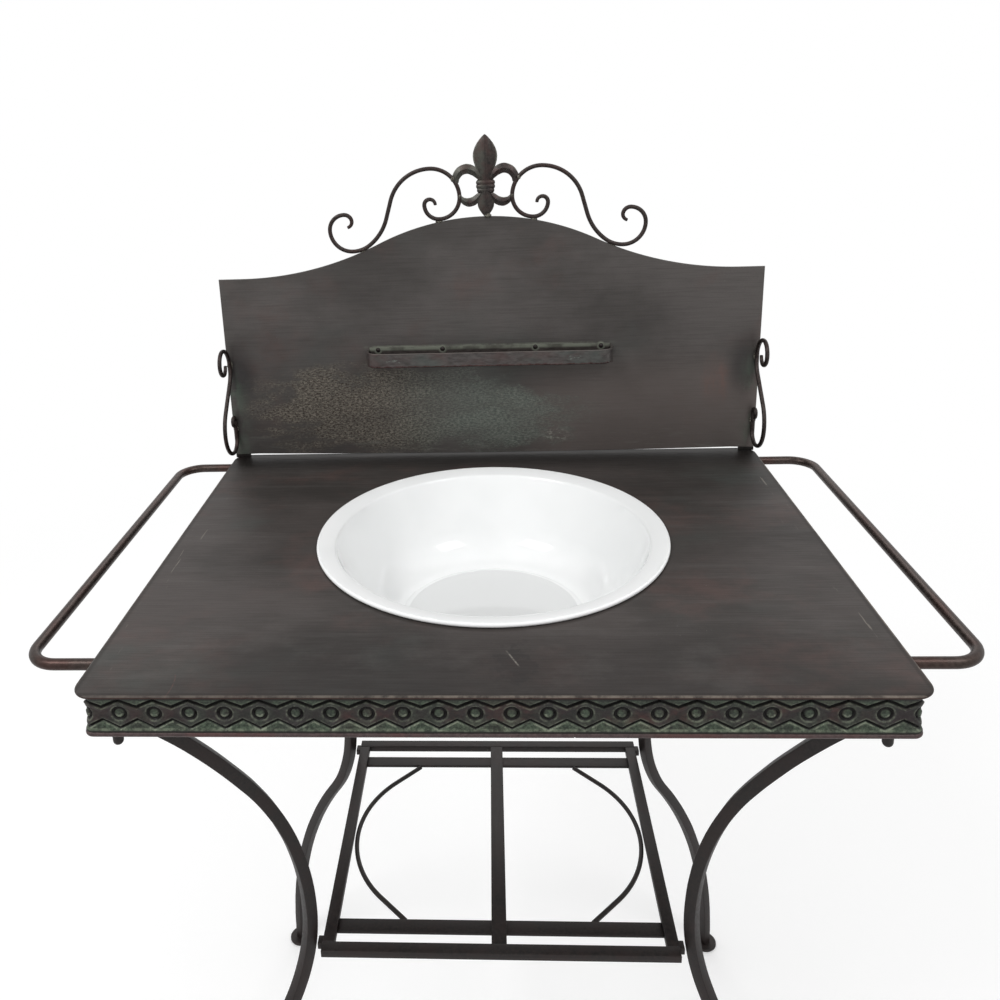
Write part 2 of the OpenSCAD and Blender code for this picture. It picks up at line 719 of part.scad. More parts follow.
// Folded tray inside the rail: a floor and a flange riveted to the panel
module soap_tray() color(dark_iron) {
    x = rail_w / 2 - rail_t - fit;
    y = rail_front + rail_t + fit;
    r = rail_in_r - fit;
    difference() {
        translate([0, 0, rail_bottom]) linear_extrude(tray_t) {
            translate([-x + r, y]) square([2 * (x - r), panel_y - y]);
            translate([-x, y + r]) square([2 * x, panel_y - y - r]);
            // Only the front half of each corner circle, so it never reaches the panel
            for (s = sides) translate([s * (x - r), y + r]) intersection() {
                circle(r);
                translate([-r, -r]) square([2 * r, r + 1]);
            }
        }
        for (k = [-4 : 4]) translate([k * drain_pitch, (y + panel_y) / 2, rail_bottom - 1])
            cylinder(d = drain_d, h = tray_t + 2);
    }
    difference() {
        translate([-x, panel_y - tray_t, rail_bottom]) cube([2 * x, tray_t, flange_top - rail_bottom]);
        for (rx = rivet_xs) translate([rx, panel_y - tray_t - 1, rivet_z]) rotate([-90, 0, 0])
            cylinder(d = rivet_d + 2 * pin_gap, h = tray_t + 2);
    }
}

// Rivets through the tray's flange and the panel, headed on both sides
module rail_rivets() color(dark_iron)
    for (x = rivet_xs) translate([x, panel_y, rivet_z]) rotate([-90, 0, 0]) {
        translate([0, 0, -tray_t]) cylinder(d = rivet_d, h = tray_t + panel_t);
        translate([0, 0, -tray_t - rivet_head_h]) cylinder(d = rivet_head_d, h = rivet_head_h);
        translate([0, 0, panel_t]) cylinder(d = rivet_head_d, h = rivet_head_h);
    }

// ---- Towel bars ----

// One towel bar: a rod bent to a U, its ends butting on the apron
module towel_bar() color(dark_iron)
    translate([apron_x + fit + emboss, arm_y_front, towel_z])
        bent_bar([[0, arm_run - emboss], [towel_bend, 90], [0, bar_run], [towel_bend, 90],
                  [0, arm_run - emboss]]) circle(d = towel_d);

module towel_bar_right() towel_bar();
module towel_bar_left() mirror([1, 0, 0]) towel_bar();

tabletop();
apron_front();
apron_back();
apron_left();
apron_right();
rim_rod();
corner_plate_front_left();
corner_plate_front_right();
corner_plate_back_left();
corner_plate_back_right();
corner_studs();
domed_nuts();
leg_front_left();
leg_front_right();
leg_back_left();
leg_back_right();
pad_front_left();
pad_front_right();
pad_back_left();
pad_back_right();
shelf_bar_front();
shelf_bar_back();
shelf_bar_left();
shelf_bar_right();
shelf_slat_front();
shelf_slat_back();
shelf_middle_bar();
shelf_strap_left();
shelf_strap_right();
shelf_lugs();
basin();
back_panel();
panel_tabs();
soap_rail();
soap_tray();
rail_rivets();
finial();
crest_scroll_left();
crest_scroll_right();
side_scroll_left();
side_scroll_right();
towel_bar_left();
towel_bar_right();
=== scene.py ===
import math
import random

import bpy
import bmesh
import numpy as np
from mathutils import Matrix, Vector, noise


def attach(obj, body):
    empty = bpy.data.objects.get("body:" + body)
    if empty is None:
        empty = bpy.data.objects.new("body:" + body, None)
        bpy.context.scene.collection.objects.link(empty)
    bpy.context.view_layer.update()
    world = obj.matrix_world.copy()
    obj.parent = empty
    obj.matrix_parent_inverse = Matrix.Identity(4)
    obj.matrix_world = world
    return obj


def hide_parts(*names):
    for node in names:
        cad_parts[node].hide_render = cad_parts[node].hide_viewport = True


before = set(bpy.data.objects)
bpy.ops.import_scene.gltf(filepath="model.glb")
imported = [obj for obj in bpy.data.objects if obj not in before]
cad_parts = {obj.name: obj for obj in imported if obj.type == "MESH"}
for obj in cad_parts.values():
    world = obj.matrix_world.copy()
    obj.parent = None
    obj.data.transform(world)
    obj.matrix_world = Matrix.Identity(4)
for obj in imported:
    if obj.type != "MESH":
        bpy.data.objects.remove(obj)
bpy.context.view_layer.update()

# ---------------------------------------------------------------------------
# Camera. It stands before the middle of the stand, well above the tabletop,
# looks down on the basin and a little to the left, and is held slightly askew.

scene = bpy.context.scene
camera_place = Vector((0.00453, -0.87038, 1.19053))
camera_turn, camera_tilt, camera_roll = (math.radians(a) for a in (-3.383, 16.441, -2.048))
ahead = Vector((math.sin(camera_turn) * math.cos(camera_tilt),
                math.cos(camera_turn) * math.cos(camera_tilt), -math.sin(camera_tilt)))
level = Vector((math.cos(camera_turn), -math.sin(camera_turn), 0))
above = level.cross(ahead)
right = level * math.cos(camera_roll) + above * math.sin(camera_roll)
upward = above * math.cos(camera_roll) - level * math.sin(camera_roll)

lens = bpy.data.cameras.new("camera")
lens.lens = 33.726
lens.shift_x = 0.06
lens.shift_y = -0.12
camera = bpy.data.objects.new("camera", lens)
scene.collection.objects.link(camera)
camera.matrix_world = Matrix((
    (right.x, upward.x, -ahead.x, camera_place.x),
    (right.y, upward.y, -ahead.y, camera_place.y),
    (right.z, upward.z, -ahead.z, camera_place.z),
    (0, 0, 0, 1)))
scene.camera = camera
scene.view_settings.view_transform = "Standard"

# ---------------------------------------------------------------------------
# Studio. A white floor and white surroundings, a soft lamp high on each side
# in front and one behind. The lamps' reflections are the basin's highlights.

def add_node(tree, kind, how=None, **values):
    """A new node in a material or the world, with its operation and its inputs' values."""
    node = tree.nodes.new("ShaderNode" + kind)
    if how:
        node.operation = how
    for name, value in values.items():
        node.inputs[name.replace("_", " ")].default_value = value
    return node


def join(tree, *pairs):
    """Link each output to the input beside it."""
    for output, socket in pairs:
        tree.links.new(output, socket)


world = bpy.data.worlds.new("studio")
scene.world = world
world.use_nodes = True
sky = world.node_tree
sky.nodes.clear()
surround = add_node(sky, "Background", Color=(1, 1, 1, 1))
seen = add_node(sky, "LightPath")
seen_or_mirrored = add_node(sky, "Math", "MAXIMUM")
seen_through = add_node(sky, "Math", "MAXIMUM")
strength = add_node(sky, "MapRange", To_Min=0.68, To_Max=1.0)
sky_out = add_node(sky, "OutputWorld")
join(sky, (seen.outputs["Is Camera Ray"], seen_or_mirrored.inputs[0]),
     (seen.outputs["Is Glossy Ray"], seen_or_mirrored.inputs[1]),
     (seen_or_mirrored.outputs[0], seen_through.inputs[0]),
     (seen.outputs["Is Transmission Ray"], seen_through.inputs[1]),
     (seen_through.outputs[0], strength.inputs["Value"]),
     (strength.outputs["Result"], surround.inputs["Strength"]),
     (surround.outputs[0], sky_out.inputs["Surface"]))


def soft_lamp(name, place, aim, width, height, watts):
    data = bpy.data.lights.new(name, "AREA")
    data.shape = "RECTANGLE"
    data.size, data.size_y, data.energy = width, height, watts
    lamp = bpy.data.objects.new(name, data)
    scene.collection.objects.link(lamp)
    lamp.location = place
    lamp.rotation_euler = (Vector(aim) - Vector(place)).to_track_quat("-Z", "Y").to_euler()


soft_lamp("lamp_left", (-1.35, -1.0, 2.6), (0, 0, 0.8), 0.95, 0.7, 22)
soft_lamp("lamp_right", (1.35, -1.1, 2.7), (0, 0, 0.8), 0.8, 0.8, 16)
soft_lamp("lamp_back", (0.0, 1.9, 2.4), (0, 0.2, 0.8), 1.6, 0.5, 10)

FLOOR_REACH = 9.0
floor_mesh = bpy.data.meshes.new("floor")
floor_corners = [(FLOOR_REACH * x, FLOOR_REACH * y, 0) for x, y in ((-1, -1), (1, -1), (1, 1), (-1, 1))]
floor_mesh.from_pydata(floor_corners, [], [(0, 1, 2, 3)])
floor = bpy.data.objects.new("floor", floor_mesh)
scene.collection.objects.link(floor)
floor_finish = bpy.data.materials.new("white floor")
floor_finish.use_nodes = True
boards = floor_finish.node_tree
floor_paint = boards.nodes["Principled BSDF"]
for name, value in (("Base Color", (0.92, 0.92, 0.92, 1)), ("Roughness", 0.9), ("Specular IOR Level", 0.1),
                    ("Emission Color", (1, 1, 1, 1))):
    floor_paint.inputs[name].default_value = value
floor_seen = add_node(boards, "LightPath").outputs["Is Camera Ray"]
floor_glow = add_node(boards, "MapRange", To_Max=0.16)
floor_white = add_node(boards, "Emission")
floor_place = add_node(boards, "TexCoord")
floor_far = add_node(boards, "VectorMath", "LENGTH")
floor_fade = add_node(boards, "MapRange", From_Min=0.8, From_Max=2.4)
floor_fade.interpolation_type = "SMOOTHSTEP"
floor_both = add_node(boards, "Math", "MULTIPLY")
floor_mix = add_node(boards, "MixShader")
join(boards, (floor_seen, floor_glow.inputs["Value"]),
     (floor_glow.outputs["Result"], floor_paint.inputs["Emission Strength"]),
     (floor_place.outputs["Object"], floor_far.inputs[0]),
     (floor_far.outputs["Value"], floor_fade.inputs["Value"]),
     (floor_fade.outputs["Result"], floor_both.inputs[0]),
     (floor_seen, floor_both.inputs[1]),
     (floor_both.outputs[0], floor_mix.inputs["Fac"]),
     (floor_paint.outputs[0], floor_mix.inputs[1]),
     (floor_white.outputs[0], floor_mix.inputs[2]),
     (floor_mix.outputs[0], boards.nodes["Material Output"].inputs["Surface"]))
floor_mesh.materials.append(floor_finish)

# ---------------------------------------------------------------------------
# Tabletop. Sheet iron with a large round hole, its edge rolled under to a bead
# all round. Brushed dark bronze-brown with thin streaks across the width.

TABLE_W, TABLE_D, TABLE_Z = 0.660, 0.520, 0.760
SHEET = 0.002
BEAD_R = 0.0015
TABLE_CORNER = 0.018
HOLE_R = 0.165
BASIN_BACK = 0.015


def rgb(r, g, b):
    """A colour from its screen values of 0 to 255."""
    def linear(c):
        c /= 255
        return c / 12.92 if c <= 0.04045 else ((c + 0.055) / 1.055) ** 2.4
    return (linear(r), linear(g), linear(b), 1)


class Finish:
    """A material made of nodes, its colour laid on coat by coat."""

    def __init__(self, name):
        self.material = bpy.data.materials.new(name)
        self.material.use_nodes = True
        self.tree = self.material.node_tree
        self.shader = self.tree.nodes["Principled BSDF"]
        self.place = add_node(self.tree, "TexCoord").outputs["Object"]
        self.colour = None

    def give(self, socket, value):
        """Link a socket to another one, or set it to a number or colour."""
        if isinstance(value, (int, float, tuple)):
            socket.default_value = value
        else:
            self.tree.links.new(value, socket)

    def grain(self, size, shift=0, stretch=(1, 1, 1), detail=4, rough=0.6):
        """Noise with lumps of about the given size in metres."""
        mapping = add_node(self.tree, "Mapping", Scale=stretch, Location=(shift, shift * 0.7, shift * 1.3))
        self.give(mapping.inputs["Vector"], self.place)
        node = add_node(self.tree, "TexNoise", Scale=1 / size, Detail=detail, Roughness=rough)
        self.give(node.inputs["Vector"], mapping.outputs[0])
        return node.outputs["Fac"]

    def span(self, value, low, high, to_low=0.0, to_high=1.0):
        """Turn a value's run from low to high into a smooth run between two others."""
        node = add_node(self.tree, "MapRange", From_Min=low, From_Max=high, To_Min=to_low, To_Max=to_high)
        node.interpolation_type = "SMOOTHSTEP"
        self.give(node.inputs["Value"], value)
        return node.outputs["Result"]

    def combine(self, how, a, b=0):
        node = add_node(self.tree, "Math", how)
        self.give(node.inputs[0], a)
        self.give(node.inputs[1], b)
        return node.outputs[0]

    def times(self, first, *others):
        for other in others:
            first = self.combine("MULTIPLY", first, other)
        return first

    def plus(self, a, b):
        return self.combine("ADD", a, b)

    def mix(self, under, over, amount):
        """One colour laid over another by an amount from 0 to 1."""
        node = add_node(self.tree, "Mix")
        node.data_type = "RGBA"
        node.clamp_factor = True
        for name, kind, value in (("A", "RGBA", under), ("B", "RGBA", over), ("Factor", "VALUE", amount)):
            self.give([s for s in node.inputs if s.name == name and s.type == kind][0], value)
        return [s for s in node.outputs if s.type == "RGBA"][0]

    def coat(self, over, amount):
        """Lay a colour over what is there."""
        self.colour = self.mix(self.colour, over, amount)

    def axis(self, name):
        node = add_node(self.tree, "SeparateXYZ")
        self.give(node.inputs[0], self.place)
        return node.outputs[name]

    def offset(self, name, middle, scale=1.0):
        """How far a point lies past a place on an axis, times a scale."""
        return self.times(self.plus(self.axis(name), -middle), scale)

    def either(self, name, middle=None):
        """How far a point lies to either side of a place on an axis."""
        return self.combine("ABSOLUTE", self.axis(name) if middle is None else self.offset(name, middle))

    def along(self, name, *limits):
        """A smooth run along an axis."""
        return self.span(self.axis(name), *limits)

    def length(self, a, b):
        """Length of the straight line with sides a and b."""
        return self.combine("SQRT", self.plus(self.times(a, a), self.times(b, b)))

    def oval(self, axes, middle, size):
        """Distance from a place on two axes, 1 at the edge of an oval of that half size."""
        return self.length(*(self.offset(axes[k], middle[k], 1 / size[k]) for k in (0, 1)))

    def mark(self, name):
        """A value stored on the mesh's points."""
        node = add_node(self.tree, "Attribute")
        node.attribute_name = name
        return node.outputs["Fac"]

    def bump(self, height, depth=0.00008):
        node = add_node(self.tree, "Bump", Strength=1, Distance=depth)
        self.give(node.inputs["Height"], height)
        self.give(self.shader.inputs["Normal"], node.outputs[0])

    def paint(self, roughness, metal):
        for name, value in (("Metallic", metal), ("Base Color", self.colour), ("Roughness", roughness)):
            self.give(self.shader.inputs[name], value)
        return self.material


def brushed(f, dark, pale, gloss):
    """Colour and roughness of brushed iron sheet, its streaks running across the width."""
    streaks = f.grain(0.0016, 0, (0.035, 1, 1), 4, 0.65)
    broad = f.grain(0.012, 5.9, (0.07, 1, 1))
    clouds = f.grain(0.14, 3.1, (0.7, 1, 1), 5)
    warm = f.grain(0.09, 7.7, (0.8, 1, 1), 5, 0.65)
    cool = f.grain(0.12, 12.3, (0.8, 1, 1))
    f.colour = f.mix(dark, pale, f.span(clouds, 0.34, 0.66))
    f.coat(rgb(90, 70, 66), f.span(warm, 0.5, 0.72, 0, 0.45))
    f.coat(rgb(72, 78, 75), f.span(cool, 0.52, 0.74, 0, 0.4))
    f.coat(rgb(50, 46, 45), f.span(streaks, 0.42, 0.72, 0, 0.26))
    f.coat(rgb(94, 91, 89), f.span(broad, 0.5, 0.75, 0, 0.2))
    fleck = f.span(f.grain(0.0016, 21.0, (0.7, 1, 1), 2, 0.5), 0.73, 0.81, 0, 0.6)
    where = f.span(f.grain(0.07, 31.0, detail=3), 0.52, 0.68)
    f.coat(rgb(136, 138, 130), f.times(fleck, where))
    speck = f.grain(0.0010, 25.0, (0.5, 1, 1), 3, 0.7)
    f.coat(rgb(40, 37, 36), f.span(speck, 0.5, 0.72, 0, 0.22))
    f.bump(streaks, 0.00006)
    f.shader.inputs["Specular IOR Level"].default_value = gloss
    return f.span(streaks, 0.3, 0.7, 0.42, 0.54)


RED_SCRATCH = (-0.2510, -0.2470)
PALE_SCRATCH = (0.016, -0.209)
STAIN, STAIN_SIZE = (0.018, -0.220), (0.018, 0.032)


def table_finish():
    f = Finish("brushed iron sheet")
    rough = brushed(f, rgb(54, 51, 49), rgb(72, 67, 65), 0.10)
    # Painted dark reflection along the front, between the corners
    front_dark_reflection = f.times(f.along("Y", -0.12, -0.23), f.span(f.either("X"), 0.30, 0.16))
    f.coat(rgb(38, 35, 34), f.times(front_dark_reflection, 0.64))
    wiped = f.span(f.grain(0.05, 37.0, (0.7, 1, 1), 5, 0.65), 0.48, 0.72, 0, 0.12)
    f.coat(rgb(104, 101, 98), f.times(wiped, f.along("Y", -0.10, -0.20)))
    past_x = f.plus(f.either("X"), -TABLE_W / 2)
    past_y = f.plus(f.either("Y"), -TABLE_D / 2)
    past = f.combine("MAXIMUM", past_x, past_y)
    # Pale scratches along the sides, and a long red one near the front left corner
    scratch = f.span(f.grain(0.0035, 81.0, (1, 0.06, 1), 3), 0.66, 0.72, 0, 0.5)
    beside = f.times(f.span(past_x, -0.045, -0.012), f.span(past_x, -0.006, -0.009))
    f.coat(rgb(132, 126, 118), f.times(scratch, beside))
    bow = f.times(f.offset("Y", RED_SCRATCH[1]), f.offset("Y", RED_SCRATCH[1], 9.0))
    off_line = f.combine("ABSOLUTE", f.plus(f.offset("X", RED_SCRATCH[0]), bow))
    run = f.span(f.either("Y", RED_SCRATCH[1]), 0.014, 0.018, 1, 0)
    broken = f.span(f.grain(0.004, 91.0, rough=0.7), 0.35, 0.6, 0.1, 0.6)
    scar = f.times(f.span(off_line, 0.0002, 0.0008, 1, 0), run, broken)
    f.coat(rgb(96, 70, 66), f.times(scar, 0.8))
    # A short pale scratch in a dark stain, at the middle of the front
    uneven = f.span(f.grain(0.012, 97.0, rough=0.7), 0.3, 0.7, -0.5, 0.5)
    spill = f.plus(f.oval("XY", STAIN, STAIN_SIZE), uneven)
    f.coat(rgb(40, 38, 38), f.span(spill, 1.0, 0.5, 0, 0.45))
    slant = f.plus(f.offset("X", PALE_SCRATCH[0]), f.offset("Y", PALE_SCRATCH[1], 0.44))
    stroke = f.span(f.combine("ABSOLUTE", slant), 0.0003, 0.0011, 1, 0)
    ends = f.span(f.either("Y", PALE_SCRATCH[1]), 0.005, 0.013, 1, 0)
    pale_scar = f.times(stroke, ends, broken)
    f.coat(rgb(150, 146, 138), f.times(pale_scar, 0.9))
    # Painted shade along the roll's crease, red-brown on its face, and pale on its crest, partly wear and
    # partly a painted highlight
    crease_shade = f.times(f.span(past, -0.0065, -0.0035), f.span(past, -0.0022, -0.0014, 1, 0))
    f.coat(rgb(44, 40, 38), f.times(crease_shade, 0.55))
    face = f.along("Z", TABLE_Z - 0.0007, TABLE_Z - 0.0013, 0, 0.85)
    f.coat(rgb(58, 40, 36), face)
    crest_wear_and_highlight = f.times(f.span(past, -0.0024, -0.0014), f.along("Z", TABLE_Z - 0.0013, TABLE_Z - 0.0007))
    wear_and_highlight = f.span(f.grain(0.02, 71.0, (1, 1, 1), 5, 0.7), 0.38, 0.6, 0.1, 0.9)
    right = f.along("X", -0.30, 0.05, 0.45, 1)
    f.coat(rgb(112, 104, 96), f.times(crest_wear_and_highlight, wear_and_highlight, right))
    # Painted shadow under the bead
    under = f.along("Z", TABLE_Z - 0.0016, TABLE_Z - 0.0024, 0, 0.85)
    f.coat(rgb(24, 20, 19), under)
    # Painted shade along the rear, below the panel
    f.coat(rgb(24, 22, 21), f.along("Y", 0.185, 0.235, 0, 0.82))
    return f.paint(rough, 0.15)


iron_sheet = table_finish()


def piece(name, shape, finish, stands_for=(), body="stand", sharp=40, marks=None):
    """A finished piece from a shape's points and faces, in the stand's own frame."""
    points, faces = shape
    mesh = bpy.data.meshes.new(name)
    mesh.from_pydata([tuple(p) for p in points], [], faces)
    work = bmesh.new()
    work.from_mesh(mesh)
    bmesh.ops.remove_doubles(work, verts=work.verts, dist=1e-7)
    bmesh.ops.recalc_face_normals(work, faces=work.faces)
    work.to_mesh(mesh)
    work.free()
    for polygon in mesh.polygons:
        polygon.use_smooth = True
    mesh.set_sharp_from_angle(angle=math.radians(sharp))
    mesh.materials.append(finish)
    for key, values in (marks or {}).items():
        mesh.attributes.new(key, "FLOAT", "POINT").data.foreach_set("value", np.array(values, np.float32))
    made = bpy.data.objects.new(name, mesh)
    scene.collection.objects.link(made)
    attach(made, body)
    if stands_for:
        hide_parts(*stands_for)


def skin(rings, closed=True, ends=True, loop=False):
    """Points and faces over a row of rings, each a list of the same number of points."""
    count = len(rings[0])
    points = [p for ring in rings for p in ring]
    faces = []
    rows = len(rings) if loop else len(rings) - 1
    cols = count if closed else count - 1
    for i in range(rows):
        a, b = i * count, (i + 1) % len(rings) * count
        for j in range(cols):
            k = (j + 1) % count
            faces.append((a + j, a + k, b + k, b + j))
    if ends and not loop:
        faces.append(tuple(range(count))[::-1])
        faces.append(tuple((len(rings) - 1) * count + j for j in range(count)))
    return points, faces


def rounded_outline(half_x, half_y, r, step, corner_steps=9):
    """Points round a rectangle with rounded corners, with the outward direction at each."""
    out = []
    for k, (sx, sy) in enumerate(((1, -1), (1, 1), (-1, 1), (-1, -1))):
        centre = Vector((sx * (half_x - r), sy * (half_y - r)))
        start = math.radians(-90 + 90 * k)
        for i in range(corner_steps + 1):
            a = start + math.radians(90) * i / corner_steps
            way = Vector((math.cos(a), math.sin(a)))
            out.append((centre + r * way, way))
        run = 2 * ((half_y if k % 2 == 0 else half_x) - r)
        steps = max(1, round(run / step))
        last, along = out[-1][0], Vector((-way.y, way.x))
        out += [(last + along * run * i / steps, way) for i in range(1, steps)]
    return out


NICK_XS = (-0.265, -0.224, -0.189, -0.043, 0.028, 0.121, 0.206, 0.277)
NICK_DEEP, NICK_W = 0.0006, 0.0012
edge = rounded_outline(TABLE_W / 2, TABLE_D / 2, TABLE_CORNER, 0.0015)
hole_middle = Vector((0, BASIN_BACK))
hole = [hole_middle + (place - hole_middle).normalized() * HOLE_R for place, _ in edge]
bead = [(BEAD_R - BEAD_R * math.cos(a), TABLE_Z - BEAD_R + BEAD_R * math.sin(a))
        for a in (math.radians(90 - 15 * i) for i in range(19))]
rings = [[(p.x, p.y, TABLE_Z) for p in hole]]
for inset, z in bead + [(2 * BEAD_R, TABLE_Z - SHEET)]:
    ring = []
    for place, way in edge:
        flat = place - way * inset
        wear = abs(0.00012 * noise.noise(Vector((flat.x * 60, flat.y * 60, 0))))
        if way.y < -0.9:
            wear += sum(NICK_DEEP * math.exp(-((flat.x - x) / NICK_W) ** 2) for x in NICK_XS)
        ring.append((flat.x - way.x * wear, flat.y - way.y * wear, z))
    rings.append(ring)
rings.append([(p.x, p.y, TABLE_Z - SHEET) for p in hole])
piece("table_sheet", skin(rings, ends=False, loop=True), iron_sheet, ["tabletop"], sharp=50)

# ---------------------------------------------------------------------------
# Apron. Four strips of iron pressed with a chain of hexagons, each with a ring
# and boss, bent a little hollow, and welded under the tabletop. Grey-green
# patina fills the pressing, and the lines are nearly black, partly dark oxide
# and partly painted shade, with painted highlights along their edges.

APRON_X, APRON_Y = 0.3245, 0.2545
BAND_TOP, BAND_BOTTOM = 0.758, 0.724
BAND_T = 0.002
BAND_BEND = 0.008
BAND_RETURN = 0.010
HEX_PITCH, HEX_H, NECK_H = 0.028, 0.025, 0.0115
BOSS_R = 0.00375
BAND_MID = TABLE_Z - 0.0205
HOLLOW = 0.0030


def pressing(s, z):
    """Height of the pressed pattern, and how dark its grooves are (oxide and painted shade), how far inside
    and near a neck it is, and its painted highlights and wear.
    """
    cell = (s / HEX_PITCH) % 1
    peak = 1 - abs(2 * cell - 1)
    half = NECK_H / 2 + (HEX_H - NECK_H) / 2 * peak
    slope = (HEX_H - NECK_H) / HEX_PITCH
    off = (half - abs(z)) / math.hypot(1, slope)
    ring = math.hypot((cell - 0.5) * HEX_PITCH, z)
    line = math.exp(-(off / 0.0009) ** 2)
    circle = math.exp(-((ring - BOSS_R - 0.0013) / 0.00115) ** 2)
    lip = math.exp(-((ring - BOSS_R - 0.0031) / 0.0007) ** 2)
    inside = min(1, max(0, off / 0.0014))
    bevel = max(0, 1 - ((off - 0.0022) / 0.0016) ** 2)
    height = (0.0004 * inside + 0.0006 * bevel * (off > 0)
              - 0.0018 * line - 0.0017 * circle + 0.0004 * lip)
    if ring < BOSS_R:
        height += 0.0014 * (1 - (ring / BOSS_R) ** 2) - 0.0001
    # Painted highlights, partly wear, along the grooves' edges, on the rings' lips and low on each boss
    outer_edge = math.exp(-((off + 0.0017) / 0.0005) ** 2)
    inner_edge = math.exp(-((off - 0.0018) / 0.0005) ** 2)
    boss_highlight = math.exp(-((ring - 0.0022) / 0.0010) ** 2) * (z < 0)
    wear_and_highlight = max((0.9 if z < 0 else 0.6) * outer_edge, 0.55 * inner_edge, 0.5 * lip, 0.8 * boss_highlight)
    return height, (max(line, circle), inside * (ring > BOSS_R), (1 - peak) * inside, wear_and_highlight)


def dished(z):
    """How far the band is drawn in at a height, most a little below its middle."""
    t = max(-1, (z - (BAND_TOP + BAND_BOTTOM) / 2) / ((BAND_TOP - BAND_BOTTOM) / 2))
    deepest = -0.2
    u = (t - deepest) / (1 - deepest) if t > deepest else (t - deepest) / (1 + deepest)
    return HOLLOW * (1 - abs(u) ** 2.2)


def band(name, node, turn, straight, bends, step):
    """A strip along X, facing -Y, then turned about the upright middle line."""
    out_y = APRON_Y if bends else APRON_X
    steps = round(2 * straight / step)
    path = []
    for i in range(steps + 1):
        s = -straight + 2 * straight * i / steps
        path.append((s, Vector((s, -out_y)), Vector((0, -1))))
    if bends:
        centre = Vector((straight, -out_y + BAND_BEND))
        for i in range(1, 9):
            a = math.radians(90 * i / 8)
            way = Vector((math.sin(a), -math.cos(a)))
            path.append((straight + BAND_BEND * a, centre + BAND_BEND * way, way))
        for i in range(1, 9):
            back = BAND_RETURN * i / 8
            path.append((straight + BAND_BEND * math.pi / 2 + back,
                         Vector((straight + BAND_BEND, -out_y + BAND_BEND + back)), Vector((1, 0))))
        bend = [step for step in path if step[0] > straight + 1e-6]
        path = [(-s, Vector((-p.x, p.y)), Vector((-w.x, w.y))) for s, p, w in bend[::-1]] + path
    levels = [BAND_BOTTOM - 0.0004 + (BAND_TOP - BAND_BOTTOM) * i / 57 for i in range(58)]
    spin = Matrix.Rotation(math.radians(turn), 2)
    rings, marks = [], []
    for s, place, way in path:
        ring = []
        for z in levels:
            height, pattern = pressing(s, z - BAND_MID)
            wobble = 0.00015 * noise.noise(Vector((s * 90, z * 90, turn)))
            p = spin @ (place + way * (min(0.0010, height + wobble) - dished(z)))
            ring.append((p.x, p.y, z))
            marks.append(pattern)
        for z in levels[::-8]:
            p = spin @ (place - way * (BAND_T + dished(z)))
            ring.append((p.x, p.y, z))
            marks.append((0, 0.5, 0.5, 0))
        rings.append(ring)
    kinds = ("groove_oxide_and_shade", "inside_hexagon", "neck", "bevel_highlight_and_wear")
    piece(name, skin(rings), band_finish, [node], sharp=60, marks=dict(zip(kinds, zip(*marks))))


def pressed_band_finish():
    f = Finish("pressed band patina")
    clouds = f.grain(0.03, 2.2, (1, 1, 1), 5, 0.65)
    fine = f.grain(0.0022, 5.5, rough=0.7)
    green = f.mix(rgb(38, 46, 38), rgb(78, 91, 75), f.span(fine, 0.32, 0.7))
    brown = f.mix(rgb(34, 31, 32), rgb(60, 57, 56), f.span(fine, 0.32, 0.7))
    inside = f.mark("inside_hexagon")
    spread = f.plus(f.times(inside, 0.7), f.span(clouds, 0.35, 0.65, -0.4, 0.4))
    f.colour = f.mix(green, brown, spread)
    # The necks between the hexagons are darkest, in places red-brown
    f.coat(rgb(38, 32, 34), f.times(f.mark("neck"), 0.75))
    red = f.span(f.grain(0.045, 9.9), 0.44, 0.62, 0.05, 0.8)
    red = f.times(red, f.along("X", -0.26, 0.10, 0.3, 1))
    where_red = f.plus(f.times(f.mark("neck"), 0.7), 0.2)
    f.coat(rgb(84, 50, 46), f.times(red, where_red))
    # Painted highlights, partly wear, on the pressing's raised edges
    wear_and_highlight = f.span(f.grain(0.006, 17.0, rough=0.7), 0.42, 0.6, 0.1, 0.9)
    f.coat(rgb(136, 142, 124), f.times(f.mark("bevel_highlight_and_wear"), wear_and_highlight))
    crust = f.span(f.grain(0.003, 14.0, (0.6, 1, 1), 3, 0.7), 0.58, 0.66)
    low = f.along("Z", BAND_BOTTOM + 0.010, BAND_BOTTOM + 0.003, 0, 0.7)
    f.coat(rgb(28, 25, 23), f.times(crust, low))
    # A painted highlight along the ledge at the band's foot
    ledge_highlight = f.times(f.along("Z", BAND_BOTTOM + 0.0034, BAND_BOTTOM + 0.0022, 0, 0.7), wear_and_highlight)
    f.coat(rgb(118, 126, 108), ledge_highlight)
    # A painted shadow line between the band's foot and the rod
    f.coat(rgb(26, 22, 21), f.along("Z", BAND_BOTTOM + 0.0012, BAND_BOTTOM + 0.0006, 0, 0.9))
    shade = f.along("Z", BAND_TOP - 0.0072, BAND_TOP - 0.0056, 0, 0.85)
    f.coat(rgb(22, 19, 18), shade)
    grime = f.span(f.grain(0.008, 23.0, (0.6, 1, 1), 4, 0.7), 0.48, 0.64)
    f.coat(rgb(30, 32, 29), f.times(grime, 0.6))
    # The grooves are nearly black: partly dark oxide, partly painted shade
    f.coat(rgb(15, 12, 12), f.span(f.mark("groove_oxide_and_shade"), 0.1, 0.6, 0, 0.97))
    f.bump(fine)
    return f.paint(f.span(fine, 0.3, 0.7, 0.38, 0.56), 0.55)


